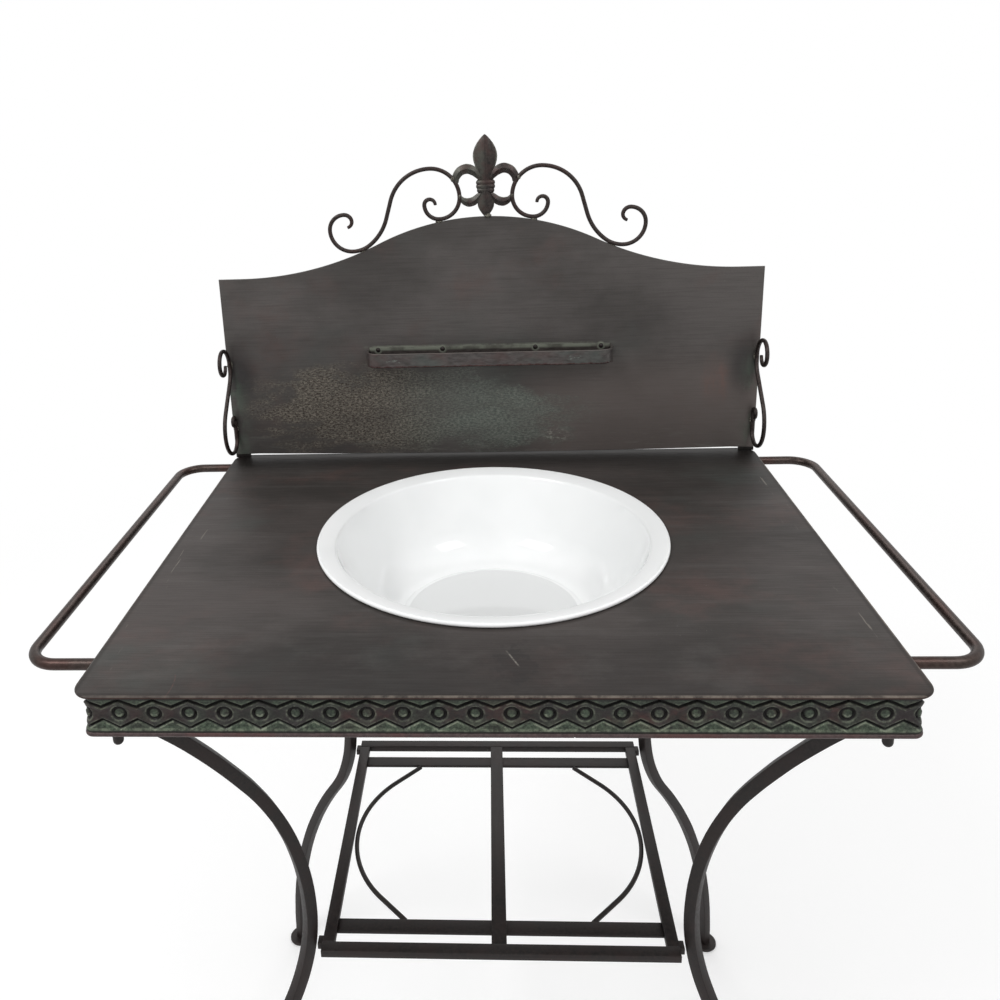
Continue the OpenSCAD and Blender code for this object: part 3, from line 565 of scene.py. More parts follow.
band_finish = pressed_band_finish()
straight_x = APRON_X - BAND_BEND
straight_y = APRON_Y - BAND_BEND - BAND_RETURN
band("band_front", "apron_front", 0, straight_x, True, 0.0006)
band("band_back", "apron_back", 180, straight_x, True, 0.0009)
band("band_right", "apron_right", 90, straight_y, False, 0.0009)
band("band_left", "apron_left", -90, straight_y, False, 0.0009)

# ---------------------------------------------------------------------------
# Rim rod. A round iron rod welded under the band, its two ends meeting with an
# open joint on the front. Reddish brown, as the soap rail is.

ROD_R = 0.0025
RIM_Z = BAND_BOTTOM - 0.0003 - ROD_R
RIM_SET = 0.002
RIM_X, RIM_Y, RIM_CORNER = APRON_X - RIM_SET, APRON_Y - RIM_SET, BAND_BEND - RIM_SET
RIM_JOINT_X, RIM_JOINT = 0.062, 0.001


def dark_rod_iron(name, low, high, red, shine=0.45, metal=0.8, streak=(1, 1, 1)):
    f = Finish(name)
    fine = f.grain(0.003, 1.5, streak, 4, 0.65)
    clouds = f.grain(0.04, 4.5)
    f.colour = f.mix(low, high, f.span(fine, 0.3, 0.75))
    f.coat(red, f.span(clouds, 0.46, 0.66, 0, 0.5))
    f.coat(rgb(24, 21, 20), f.span(f.grain(0.002, 8.5, streak, 3, 0.7), 0.62, 0.76, 0, 0.45))
    f.bump(fine)
    return f.paint(f.span(fine, 0.3, 0.7, shine - 0.06, shine + 0.08), metal)


red_rod = dark_rod_iron("reddish iron", rgb(70, 60, 60), rgb(92, 78, 77), rgb(92, 60, 58))


def tube(path, radius, sides=16, ends=True, closed=False, fixed=None):
    """A round bar along points. The radius is a number or a function of the share of the length."""
    path = [Vector(p) for p in path]
    count = len(path)
    tangents = []
    for i in range(count):
        a = path[i - 1] if i > 0 or closed else path[i]
        b = path[(i + 1) % count] if i < count - 1 or closed else path[i]
        tangents.append((b - a).normalized())
    lengths = [0.0]
    for i in range(1, count):
        lengths.append(lengths[-1] + (path[i] - path[i - 1]).length)
    side = tangents[0].orthogonal().normalized() if fixed is None else Vector(fixed)
    rings = []
    for i in range(count):
        side = (side - tangents[i] * side.dot(tangents[i])).normalized()
        other = tangents[i].cross(side)
        r = radius(lengths[i] / lengths[-1]) if callable(radius) else radius
        rings.append([path[i] + r * (math.cos(2 * math.pi * k / sides) * side
                                     + math.sin(2 * math.pi * k / sides) * other) for k in range(sides)])
    if ends and not closed:
        for at, sign in ((0, -1), (-1, 1)):
            centre, way = path[at], tangents[at] * sign
            r = radius(0.0 if at == 0 else 1.0) if callable(radius) else radius
            base = rings[0] if at == 0 else rings[-1]
            caps = []
            for t in (35, 65, 85):
                shrink, push = math.cos(math.radians(t)), math.sin(math.radians(t))
                caps.append([centre + (p - centre) * shrink + way * r * 0.35 * push for p in base])
            rings = caps[::-1] + rings if at == 0 else rings + caps
    return skin(rings, loop=closed)


def joined(shapes):
    """Several shapes as one."""
    points, faces = [], []
    for more, shape in shapes:
        faces += [tuple(i + len(points) for i in face) for face in shape]
        points += more
    return points, faces


rim_round = rounded_outline(RIM_X, RIM_Y, RIM_CORNER, 0.004, 8)
rim_line = [Vector((place.x, place.y, RIM_Z)) for place, _ in rim_round]
joint_place = Vector((RIM_JOINT_X, -RIM_Y, RIM_Z))
joint = min(range(len(rim_line)), key=lambda i: (rim_line[i] - joint_place).length)
rod_ends = [Vector((RIM_JOINT_X + side * RIM_JOINT / 2, -RIM_Y, RIM_Z)) for side in (1, -1)]
rim_line = [rod_ends[0]] + rim_line[joint + 1:] + rim_line[:joint] + [rod_ends[1]]
# A dark core of weld metal closes the joint
core = [(RIM_JOINT_X + RIM_JOINT * t, -RIM_Y, RIM_Z) for t in (-0.7, -0.3, 0.3, 0.7)]
rod_shapes = [tube(rim_line, ROD_R, ends=False), tube(core, ROD_R * 0.82, ends=False)]
piece("rod_under_band", joined(rod_shapes), red_rod, ["rim_rod"])

# ---------------------------------------------------------------------------
# Basin. A pressed steel bowl in thick white enamel, with a flat rim rolled
# over at its edge. It hangs by the rim in the tabletop's hole.

BASIN_R = 0.180
LIP_R = 0.002
LIP_Z = TABLE_Z + 0.0003 + LIP_R
MOUTH_R = BASIN_R - 0.019
FLOOR_R = 0.092
BOWL_EDGE = 0.050
BASIN_DEEP = 0.090
BASIN_T = 0.002


def enamel_finish():
    f = Finish("white enamel")
    cloud = f.grain(0.08, detail=2, rough=0.5)
    f.colour = f.mix((0.855, 0.865, 0.864, 1), (0.885, 0.893, 0.892, 1), f.span(cloud, 0.35, 0.65))
    # The floor is greyer than the walls
    from_middle = f.length(f.axis("X"), f.offset("Y", BASIN_BACK))
    low = f.times(f.span(from_middle, 0.0915, 0.0895), f.along("Z", TABLE_Z - 0.060, TABLE_Z - 0.070))
    f.coat((0.700, 0.708, 0.706, 1), f.times(low, 0.9))
    return f.paint(0.07, 0.0)


inner = []
depth = TABLE_Z - BASIN_DEEP
edge_mid = (FLOOR_R, depth + BOWL_EDGE)
to_mouth = (MOUTH_R - edge_mid[0], LIP_Z - edge_mid[1])
lean = math.degrees(math.atan2(to_mouth[1], to_mouth[0]) - math.acos(BOWL_EDGE / math.hypot(*to_mouth)))
for r in (0.004, 0.02, 0.04, 0.06, 0.08, 0.0895):
    inner.append((r, depth + 0.0022))
inner.append((0.0912, depth + 0.0020))
first = -84
for i in range(25):
    a = math.radians(first + (lean - first) * i / 24)
    inner.append((edge_mid[0] + BOWL_EDGE * math.cos(a), edge_mid[1] + BOWL_EDGE * math.sin(a)))
wall_start = inner[-1]
turn_r = 0.004
drop = 0.0034
wall_end = (MOUTH_R - drop * math.tan(math.radians(-lean)), LIP_Z - drop)
for i in range(1, 9):
    inner.append(tuple(wall_start[k] + (wall_end[k] - wall_start[k]) * i / 8 for k in (0, 1)))
rim_lift, rim_fall = 16, 5
centre = (wall_end[0] + turn_r * math.cos(math.radians(lean)),
          wall_end[1] + turn_r * math.sin(math.radians(lean)))
for i in range(1, 13):
    a = math.radians(180 + lean + (90 + rim_lift - (180 + lean)) * i / 12)
    inner.append((centre[0] + turn_r * math.cos(a), centre[1] + turn_r * math.sin(a)))
flange_start, flange_end = inner[-1], (BASIN_R - LIP_R, LIP_Z + LIP_R)
for i in range(1, 11):
    t = i / 10
    r = flange_start[0] + (flange_end[0] - flange_start[0]) * t
    straight = flange_start[1] + (flange_end[1] - flange_start[1]) * t
    crown = (flange_end[0] - flange_start[0]) * math.tan(math.radians(rim_fall)) * t * (1 - t)
    inner.append((r, straight + crown))
outer = []
for i, (r, z) in enumerate(inner[:-2]):
    a, b = inner[max(0, i - 1)], inner[i + 1]
    length = math.hypot(b[0] - a[0], b[1] - a[1])
    thick = BASIN_T if r < MOUTH_R - 0.003 else 0.0011
    outer.append((r + thick * (b[1] - a[1]) / length, z - thick * (b[0] - a[0]) / length))
lip = [(BASIN_R - LIP_R + LIP_R * math.cos(math.radians(a)), LIP_Z + LIP_R * math.sin(math.radians(a)))
       for a in range(75, -196, -15)]
section = inner + lip + outer[::-1]
section = [(max(r, 0.0001), max(z, depth - 0.0019)) for r, z in section]


def lathe(section, turns, x=0, y=0, z=0):
    """Rings round an upright middle line, from a half section of (radius, height)."""
    angles = [2 * math.pi * k / turns for k in range(turns)]
    return [[(x + r * math.cos(a), y + r * math.sin(a), z + up) for a in angles] for r, up in section]


piece("enamel_bowl", skin(lathe(section, 192, y=BASIN_BACK)), enamel_finish(), ["basin"],
      body="basin", sharp=14)

# ---------------------------------------------------------------------------
# Legs. Four square iron bars, bent in at the waist and out to the foot, and
# welded to plates across the apron's corners. Near-black brown.

LEG_BAR = 0.012
LEG_X, LEG_Y = TABLE_W / 2 - 0.031, TABLE_D / 2 - 0.031
LEG_TURN = math.atan2(LEG_Y, LEG_X)
WAIST_Z = TABLE_Z - 0.325
PLATE_Z = BAND_BOTTOM + 0.0003
PAD_R, PAD_T = 0.017, 0.004
R_TOP, R_UPPER, R_LOWER = 0.700, 0.320, 0.190
LEAN_UPPER, LEAN_LOWER = math.radians(32), math.radians(36)

top_lean = math.asin(math.sin(LEAN_UPPER) + (PLATE_Z - WAIST_Z - R_UPPER * math.sin(LEAN_UPPER)) / R_TOP)
waist = (math.hypot(LEG_X, LEG_Y) - R_UPPER * (1 - math.cos(LEAN_UPPER))
         - R_TOP * (math.cos(LEAN_UPPER) - math.cos(top_lean)))
R_FOOT = (WAIST_Z - R_LOWER * math.sin(LEAN_LOWER) - PAD_T) / math.sin(LEAN_LOWER)
foot = waist + (R_LOWER + R_FOOT) * (1 - math.cos(LEAN_LOWER))


def leg_line():
    """Distance out, height and lean of a leg's middle line, from the foot up."""
    line = []
    for i in range(33):
        a = LEAN_LOWER * i / 32
        line.append((foot - R_FOOT * (1 - math.cos(a)), PAD_T + R_FOOT * math.sin(a), -a))
    for i in range(1, 21):
        a = LEAN_LOWER * (1 - i / 20)
        line.append((waist + R_LOWER * (1 - math.cos(a)), WAIST_Z - R_LOWER * math.sin(a), -a))
    for i in range(1, 25):
        a = LEAN_UPPER * i / 24
        line.append((waist + R_UPPER * (1 - math.cos(a)), WAIST_Z + R_UPPER * math.sin(a), a))
    bend_out = waist + R_UPPER * (1 - math.cos(LEAN_UPPER))
    bend_z = WAIST_Z + R_UPPER * math.sin(LEAN_UPPER)
    for i in range(1, 17):
        a = LEAN_UPPER + (top_lean - LEAN_UPPER) * i / 16
        line.append((bend_out + R_TOP * (math.cos(LEAN_UPPER) - math.cos(a)),
                     bend_z + R_TOP * (math.sin(a) - math.sin(LEAN_UPPER)), a))
    return line


leg_iron = dark_rod_iron("dark leg iron", rgb(20, 16, 15), rgb(42, 35, 33), rgb(40, 27, 25), 0.5, 0.4)
BAR_EDGE = 0.0011
half_bar = LEG_BAR / 2 - BAR_EDGE
bar_section = []
for start, sx, sy in ((0, 1, 1), (90, -1, 1), (180, -1, -1), (270, 1, -1)):
    for a in (0, 30, 60, 90):
        b = math.radians(start + a)
        bar_section.append((sx * half_bar + BAR_EDGE * math.cos(b), sy * half_bar + BAR_EDGE * math.sin(b)))
ENDS = (("front", -1), ("back", 1))
HANDS = (("left", -1), ("right", 1))
CORNERS = [(f"{end}_{hand}", sx, sy) for end, sy in ENDS for hand, sx in HANDS]
UPWARD = Vector((0, 0, 1))
middle_line = leg_line()
for corner, sx, sy in CORNERS:
    out = Vector((sx * math.cos(LEG_TURN), sy * math.sin(LEG_TURN), 0))
    across = Vector((-out.y, out.x, 0))
    rings = []
    for r, z, a in middle_line:
        normal = out * math.cos(a) - UPWARD * math.sin(a)
        tangent = out * math.sin(a) + UPWARD * math.cos(a)
        ring = []
        for u, v in bar_section:
            p = out * r + Vector((0, 0, z)) + normal * u + across * v
            worked = 0.00025 * noise.noise(Vector((p.x * 45, p.y * 45, p.z * 45)))
            p += (normal * u + across * v).normalized() * (worked - 0.0002)
            if z == middle_line[-1][1]:
                p -= tangent * ((p.z - PLATE_Z) / tangent.z)
            if z == middle_line[0][1]:
                p.z = PAD_T
            ring.append(p)
        rings.append(ring)
    piece(f"bowed_leg_{corner}", skin(rings), leg_iron, [f"leg_{corner}"], sharp=30)

# ---------------------------------------------------------------------------
# Foot pads, corner plates, studs and domed nuts. Turned iron discs welded under
# the legs, iron plates across the apron's corners, and the studs and nuts that
# clamp the top to them.


def turned(name, section, places, stands_for, turns=40):
    """Round pieces with one half section, standing at several places."""
    shapes = [skin(lathe(section, turns, *place)) for place in places]
    piece(name, joined(shapes), leg_iron, stands_for)


foot_x, foot_y = foot * math.cos(LEG_TURN), foot * math.sin(LEG_TURN)
pad_section = [(0.0005, 0), (PAD_R - 0.001, 0), (PAD_R, 0.001), (PAD_R, PAD_T - 0.0012),
               (PAD_R - 0.0012, PAD_T), (0.0005, PAD_T)]
for corner, sx, sy in CORNERS:
    turned(f"foot_{corner}", pad_section, [(sx * foot_x, sy * foot_y, 0)], [f"pad_{corner}"])
NUT_R, NUT_H = 0.00425, 0.014
STUD_R, STUD_H = 0.0025, 0.0332
STUD_X, STUD_Y = APRON_X - BAND_T - 0.0215, RIM_Y - ROD_R - 0.0005 - NUT_R
dome = [(max(0.0003, NUT_R * math.sin(a)), -NUT_H - NUT_R * math.cos(a))
        for a in (math.radians(b) for b in range(0, 91, 10))]
nut_section = dome + [(NUT_R, -0.0004), (NUT_R - 0.0004, 0), (0.0003, 0)]
stud_section = [(0.0003, 0), (STUD_R, 0), (STUD_R, STUD_H), (0.0003, STUD_H)]
studs = [(sx * STUD_X, sy * STUD_Y) for _, sx, sy in CORNERS]
turned("nuts_under_corners", nut_section, [(x, y, PLATE_Z) for x, y in studs], ["domed_nuts"], 32)
turned("studs_under_top", stud_section, [(x, y, PLATE_Z + 0.0005) for x, y in studs], ["corner_studs"], 24)


def shape_of(work):
    """Points and faces of a mesh being worked on, which ends with this."""
    work.verts.index_update()
    points = [v.co.copy() for v in work.verts]
    faces = [tuple(v.index for v in face.verts) for face in work.faces]
    work.free()
    return points, faces


def block(low, high, round_off=0.0008):
    """A flat bar from its lowest to its highest corner, with its edges rubbed round."""
    work = bmesh.new()
    bmesh.ops.create_cube(work, size=1)
    size = [b - a for a, b in zip(low, high)]
    for v in work.verts:
        v.co = Vector([a + (c + 0.5) * s for a, c, s in zip(low, v.co, size)])
    bmesh.ops.bevel(work, geom=work.edges[:], offset=round_off, segments=3, profile=0.5, affect="EDGES")
    return shape_of(work)


PLATE_T = 0.0028
PLATE_NIP, PLATE_REACH = 0.006, 0.081
plate_x, plate_y = APRON_X - BAND_T - 0.0003 - HOLLOW, APRON_Y - BAND_T - 0.0003 - HOLLOW
for corner, sx, sy in CORNERS:
    outline = [(sx * (plate_x - PLATE_NIP), sy * plate_y), (sx * (plate_x - PLATE_REACH), sy * plate_y),
               (sx * plate_x, sy * (plate_y - PLATE_REACH)), (sx * plate_x, sy * (plate_y - PLATE_NIP))]
    plate = skin([[(x, y, PLATE_Z + 0.0001 + up) for x, y in outline] for up in (0, PLATE_T)])
    piece(f"plate_{corner}", plate, leg_iron, [f"corner_plate_{corner}"], sharp=30)

# ---------------------------------------------------------------------------
# Lower shelf. A frame of flat iron bars at the legs' waist, with two lower
# slats, a middle bar over them and a bowed round strap at each side, all welded,
# and held to the legs by four lugs.

SHELF_Z = TABLE_Z - 0.360
shelf_leg = waist + R_LOWER * (1 - math.cos(math.asin((WAIST_Z - SHELF_Z) / R_LOWER)))
leg_reach = LEG_BAR / 2 * (math.cos(LEG_TURN) + math.sin(LEG_TURN))
SHELF_X = shelf_leg * math.cos(LEG_TURN) - leg_reach - 0.005
SHELF_Y = shelf_leg * math.sin(LEG_TURN) + 0.014
FRAME_W, FRAME_H = 0.012, 0.008
BAY_X, BAY_Y = SHELF_X - FRAME_W, SHELF_Y - FRAME_W
SLAT_W, SLAT_T, MIDDLE_W, MIDDLE_T = 0.016, 0.003, 0.015, 0.004
SLAT_Y = BAY_Y - 0.015 - SLAT_W
SLAT_Z = SHELF_Z - MIDDLE_T - SLAT_T

for end, sy in ENDS:
    low_y = BAY_Y if sy > 0 else -SHELF_Y
    bar = block((-SHELF_X, low_y, SHELF_Z - FRAME_H), (SHELF_X, low_y + FRAME_W, SHELF_Z))
    piece(f"shelf_frame_{end}", bar, leg_iron, [f"shelf_bar_{end}"])
    low_y = SLAT_Y if sy > 0 else -SLAT_Y - SLAT_W
    slat = block((-BAY_X, low_y, SLAT_Z), (BAY_X, low_y + SLAT_W, SLAT_Z + SLAT_T), 0.0005)
    piece(f"cross_slat_{end}", slat, leg_iron, [f"shelf_slat_{end}"])
for hand, sx in HANDS:
    low_x = BAY_X if sx > 0 else -SHELF_X
    bar = block((low_x, -BAY_Y, SHELF_Z - FRAME_H), (low_x + FRAME_W, BAY_Y, SHELF_Z))
    piece(f"shelf_frame_{hand}", bar, leg_iron, [f"shelf_bar_{hand}"])
middle = block((-MIDDLE_W / 2, -BAY_Y, SHELF_Z - MIDDLE_T), (MIDDLE_W / 2, BAY_Y, SHELF_Z), 0.0005)
piece("middle_bar", middle, leg_iron, ["shelf_middle_bar"])


def trace(path, start, heading, step=0.0012):
    """Points along bends of (radius, degrees), where a radius of 0 is a straight run of that length."""
    at, a = Vector(start), math.radians(heading)
    points = [at.copy()]
    for r, turn in path:
        if r == 0:
            steps = max(1, round(turn / step / 3))
            way = Vector((math.cos(a), math.sin(a)))
            points += [at + way * turn * i / steps for i in range(1, steps + 1)]
            at = points[-1].copy()
            continue
        side = 1 if turn > 0 else -1
        centre = at + side * r * Vector((-math.sin(a), math.cos(a)))
        spoke = at - centre
        steps = max(4, round(abs(math.radians(turn)) * r / step))
        turns = [Matrix.Rotation(math.radians(turn) * i / steps, 2) for i in range(1, steps + 1)]
        points += [centre + part @ spoke for part in turns]
        at = points[-1].copy()
        a += math.radians(turn)
    return points


STRAP_END = 0.040
bow_r = (SLAT_Y - 0.0003) * math.sqrt(2) - STRAP_END
bow_out = STRAP_END * math.sin(math.pi / 4) + bow_r * (1 - math.cos(math.pi / 4))
strap_x = BAY_X - 0.001 - ROD_R - bow_out
strap_line = trace([(0, STRAP_END), (bow_r, -90), (0, STRAP_END)], (strap_x, SLAT_Y - 0.0003), -45, 0.004)


def rod_each_side(name, node, path, radius, finish, sides=16, **held):
    """A rod at the right and its mirror image at the left."""
    for hand, sx in HANDS:
        shape = tube([(sx * x, y, z) for x, y, z in path], radius, sides, **held)
        piece(f"{name}_{hand}", shape, finish, [f"{node}_{hand}"])


rod_each_side("bowed_strap", "shelf_strap", [(p.x, p.y, SLAT_Z + SLAT_T - ROD_R) for p in strap_line],
              ROD_R, leg_iron, ends=False)
LUG_LONG, LUG_HALF, LUG_LAP, LUG_SET = 0.0052, 0.005, 0.0005, 0.0003
lugs = []
for _, sx, sy in CORNERS:
    y = sy * shelf_leg * math.sin(LEG_TURN)
    low_x = SHELF_X - LUG_LAP if sx > 0 else LUG_LAP - SHELF_X - LUG_LONG
    lugs.append(block((low_x, y - LUG_HALF, SHELF_Z - FRAME_H + LUG_SET),
                      (low_x + LUG_LONG, y + LUG_HALF, SHELF_Z - LUG_SET)))
piece("lugs_to_legs", joined(lugs), leg_iron, ["shelf_lugs"])

# ---------------------------------------------------------------------------
# Back panel. One sheet of brushed iron with a curved top edge, standing on two
# small tabs at the rear of the tabletop. A worn patch shows low on the left.

PANEL_W, PANEL_T = 0.658, 0.0025
PANEL_Y = TABLE_D / 2 - 0.010
PANEL_Z = TABLE_Z + 0.004
SHOULDER_H, CROWN_H, CROWN_R, SHOULDER_X = 0.2325, 0.3005, 0.300, 0.300
swing = 2 * math.atan2(CROWN_H - SHOULDER_H, SHOULDER_X)
shoulder_r = SHOULDER_X / math.sin(swing) - CROWN_R


def panel_top(x):
    """Height of the panel's upper edge."""
    x = abs(x)
    if x <= CROWN_R * math.sin(swing):
        return TABLE_Z + CROWN_H - CROWN_R + math.sqrt(CROWN_R ** 2 - x * x)
    if x < SHOULDER_X:
        return TABLE_Z + SHOULDER_H + shoulder_r - math.sqrt(shoulder_r ** 2 - (SHOULDER_X - x) ** 2)
    return TABLE_Z + SHOULDER_H


RAIL_W, RAIL_H = 0.300, 0.0175
RAIL_Z = TABLE_Z + 0.1235
RIVET_XS = (-0.137, -0.057, 0.057, 0.137)
RIVET_Z = RAIL_Z + RAIL_H - 0.001


def rivet_bloom(f):
    """Pale green bloom in a ring round each rivet."""
    nearest = 1.0
    for x in RIVET_XS:
        nearest = f.combine("MINIMUM", f.length(f.offset("X", x), f.offset("Z", RIVET_Z)), nearest)
    return f.span(nearest, 0.0034, 0.0062, 0.85, 0)


# Marks on the panel's front: middle (X, Z) and half size
STREAK, STREAK_SIZE = (0.278, TABLE_Z + 0.092), (0.020, 0.040)
PATCH, PATCH_SIZE = (-0.100, TABLE_Z + 0.060), (0.190, 0.060)
SCRATCH, SCRATCH_SIZE = (0.082, TABLE_Z + 0.024), (0.022, 0.012)
HEAT_X, HEAT_Z, HEAT_SIZE = 0.312, TABLE_Z + 0.112, (0.026, 0.045)


def panel_finish():
    f = Finish("brushed iron panel")
    rough = brushed(f, rgb(68, 65, 63), rgb(88, 84, 82), 0.3)
    # Paler and warmer low on the right, with a reddish streak near its edge
    from_top = f.along("Z", TABLE_Z + 0.150, TABLE_Z + 0.080)
    warm = f.times(f.along("X", 0.0, 0.10, 0, 0.42), from_top)
    f.coat(rgb(108, 98, 94), warm)
    reddish = f.oval("XZ", STREAK, STREAK_SIZE)
    rusty = f.span(f.grain(0.018, 95.0, (1, 1, 0.5), 4, 0.65), 0.4, 0.65, 0.1, 0.42)
    f.coat(rgb(118, 84, 76), f.times(f.span(reddish, 1.1, 0.3), rusty))
    # Heat marks from the side scrolls' upper welds
    out = f.times(f.plus(f.either("X"), -HEAT_X), 1 / HEAT_SIZE[0])
    heat = f.length(out, f.offset("Z", HEAT_Z, 1 / HEAT_SIZE[1]))
    f.coat(rgb(40, 39, 40), f.span(heat, 1.1, 0.2, 0, 0.6))
    # A worn patch low on the left, pale grey-green and stippled
    uneven = f.span(f.grain(0.040, 41.0, (0.45, 1, 1), 5, 0.7), 0.3, 0.7, -0.3, 0.3)
    ragged = f.plus(f.oval("XZ", PATCH, PATCH_SIZE), uneven)
    on_front = f.along("Y", PANEL_Y + 0.0012, PANEL_Y + 0.0004)
    worn = f.times(f.span(ragged, 0.72, 1.12, 1, 0), on_front)
    pale = f.span(f.grain(0.0017, 47.0, (0.4, 1, 1), 4, 0.8), 0.4, 0.64)
    broad = f.span(f.grain(0.03, 49.0, (0.4, 1, 1)), 0.36, 0.62, 0.55, 0.95)
    side = f.along("X", -0.02, -0.16)
    greenish = f.mix(rgb(74, 79, 75), rgb(114, 118, 110), pale)
    brownish = f.mix(rgb(66, 62, 57), rgb(134, 127, 116), pale)
    f.coat(f.mix(greenish, brownish, side), f.times(worn, broad))
    dots = f.span(f.grain(0.0019, 53.0, (0.7, 1, 1), 2), 0.53, 0.62)
    left = f.along("X", -0.02, -0.17, 0.15, 0.9)
    f.coat(rgb(52, 43, 40), f.times(dots, worn, left))
    # Small pale scratch low in the middle, and faint ones along the bottom
    scratch = f.span(f.grain(0.0032, 83.0, (0.5, 1, 1), 4, 0.75), 0.5, 0.6)
    near = f.oval("XZ", SCRATCH, SCRATCH_SIZE)
    f.coat(rgb(140, 140, 130), f.times(scratch, on_front, f.span(near, 0.3, 1.0, 0.75, 0)))
    rake = f.span(f.grain(0.006, 87.0, (0.12, 1, 1), 4, 0.7), 0.55, 0.68, 0, 0.35)
    low = f.times(f.along("Z", TABLE_Z + 0.05, TABLE_Z + 0.01, 0, 1), on_front)
    f.coat(rgb(112, 112, 106), f.times(rake, low))
    # Pale green bloom along the tray's seam and round the rivets
    seam_z = f.either("Z", RIVET_Z + 0.0035)
    seam_x = f.span(f.either("X"), 0.145, 0.158, 1, 0)
    bloom = f.times(f.span(seam_z, 0.0004, 0.0024, 1, 0), seam_x, on_front)
    patchy = f.span(f.grain(0.02, 61.0), 0.36, 0.62, 0.05, 0.7)
    f.coat(rgb(126, 130, 118), f.combine("MAXIMUM", f.times(bloom, patchy), rivet_bloom(f)))
    # Green bloom beside the welds of the side scrolls
    rim = f.span(f.either("X"), 0.300, 0.326, 0, 1)
    low = f.along("Z", TABLE_Z + 0.15, TABLE_Z + 0.09, 0, 1)
    tint = f.span(f.grain(0.02, 67.0, (1, 1, 0.5), 4, 0.65), 0.4, 0.62, 0, 0.6)
    f.coat(rgb(84, 98, 86), f.times(rim, low, tint))
    return f.paint(rough, 0.35)


panel_iron = panel_finish()
PANEL_EDGE = 0.0005
BOW_HALF, BOW_DROP = 0.300, 0.0026
half = PANEL_W / 2
xs = sorted(set([round(-half + PANEL_W * i / 220, 6) for i in range(221)] + [-SHOULDER_X, SHOULDER_X]))
upper = [(x, panel_top(x)) for x in xs]
lower = [(x, PANEL_Z + 0.0008 - BOW_DROP * (1 - (x / BOW_HALF) ** 2)) for x in xs if abs(x) < BOW_HALF]
outline = [(-half, PANEL_Z)] + lower + [(half, PANEL_Z)] + upper[::-1]


def drawn_in(points, amount):
    """The outline drawn in by an amount, corner by corner."""
    out = []
    for i, (x, z) in enumerate(points):
        a, b = points[i - 1], points[(i + 1) % len(points)]
        n1 = Vector((a[1] - z, x - a[0])).normalized()
        n2 = Vector((z - b[1], b[0] - x)).normalized()
        n = (n1 + n2).normalized()
        n *= amount / max(0.5, n.dot(n1))
        out.append((x + n.x, z + n.y))
    return out


panel_face = drawn_in(outline, PANEL_EDGE)
layers = [(panel_face, PANEL_Y), (outline, PANEL_Y + PANEL_EDGE), (outline, PANEL_Y + PANEL_T - PANEL_EDGE),
          (panel_face, PANEL_Y + PANEL_T)]
panel_shape = skin([[(x, y, z) for x, z in shape] for shape, y in layers])
piece("curved_panel", panel_shape, panel_iron, ["back_panel"], sharp=30)
TAB_W = 0.019
tabs = [block((low_x, PANEL_Y, TABLE_Z), (low_x + TAB_W, PANEL_Y + PANEL_T, PANEL_Z + 0.0005), 0.0003)
        for low_x in (-PANEL_W / 2, PANEL_W / 2 - TAB_W)]
piece("tabs_under_panel", joined(tabs), iron_sheet, ["panel_tabs"])

# ---------------------------------------------------------------------------
# Soap rail. A flat strip bent round three sides of a shallow tray, which is
# riveted to the panel through its upturned back. Reddish brown.

RAIL_REACH, RAIL_CORNER, RAIL_T = 0.027, 0.016, 0.002
TRAY_T = 0.0015
RAIL_SCRATCH_XS, RAIL_SCRATCH_SIZE = (-0.115, 0.103), (0.009, 0.0026)


def strip_line(offset, step=0.004):
    """The rail's line from its left end round to its right, drawn in by an offset."""
    middle_x, middle_y = -RAIL_W / 2 + RAIL_CORNER, PANEL_Y - RAIL_REACH + RAIL_CORNER
    bend = RAIL_CORNER - offset
    left = [(-RAIL_W / 2 + offset, PANEL_Y - 0.0002), (-RAIL_W / 2 + offset, middle_y)]
    for i in range(1, 9):
        a = math.radians(180 + 90 * i / 8)
        left.append((middle_x + bend * math.cos(a), middle_y + bend * math.sin(a)))
    run = RAIL_W - 2 * RAIL_CORNER
    steps = round(run / step)
    front = [(middle_x + run * i / steps, PANEL_Y - RAIL_REACH + offset) for i in range(1, steps)]
    return left + front + [(-x, y) for x, y in left[::-1]]


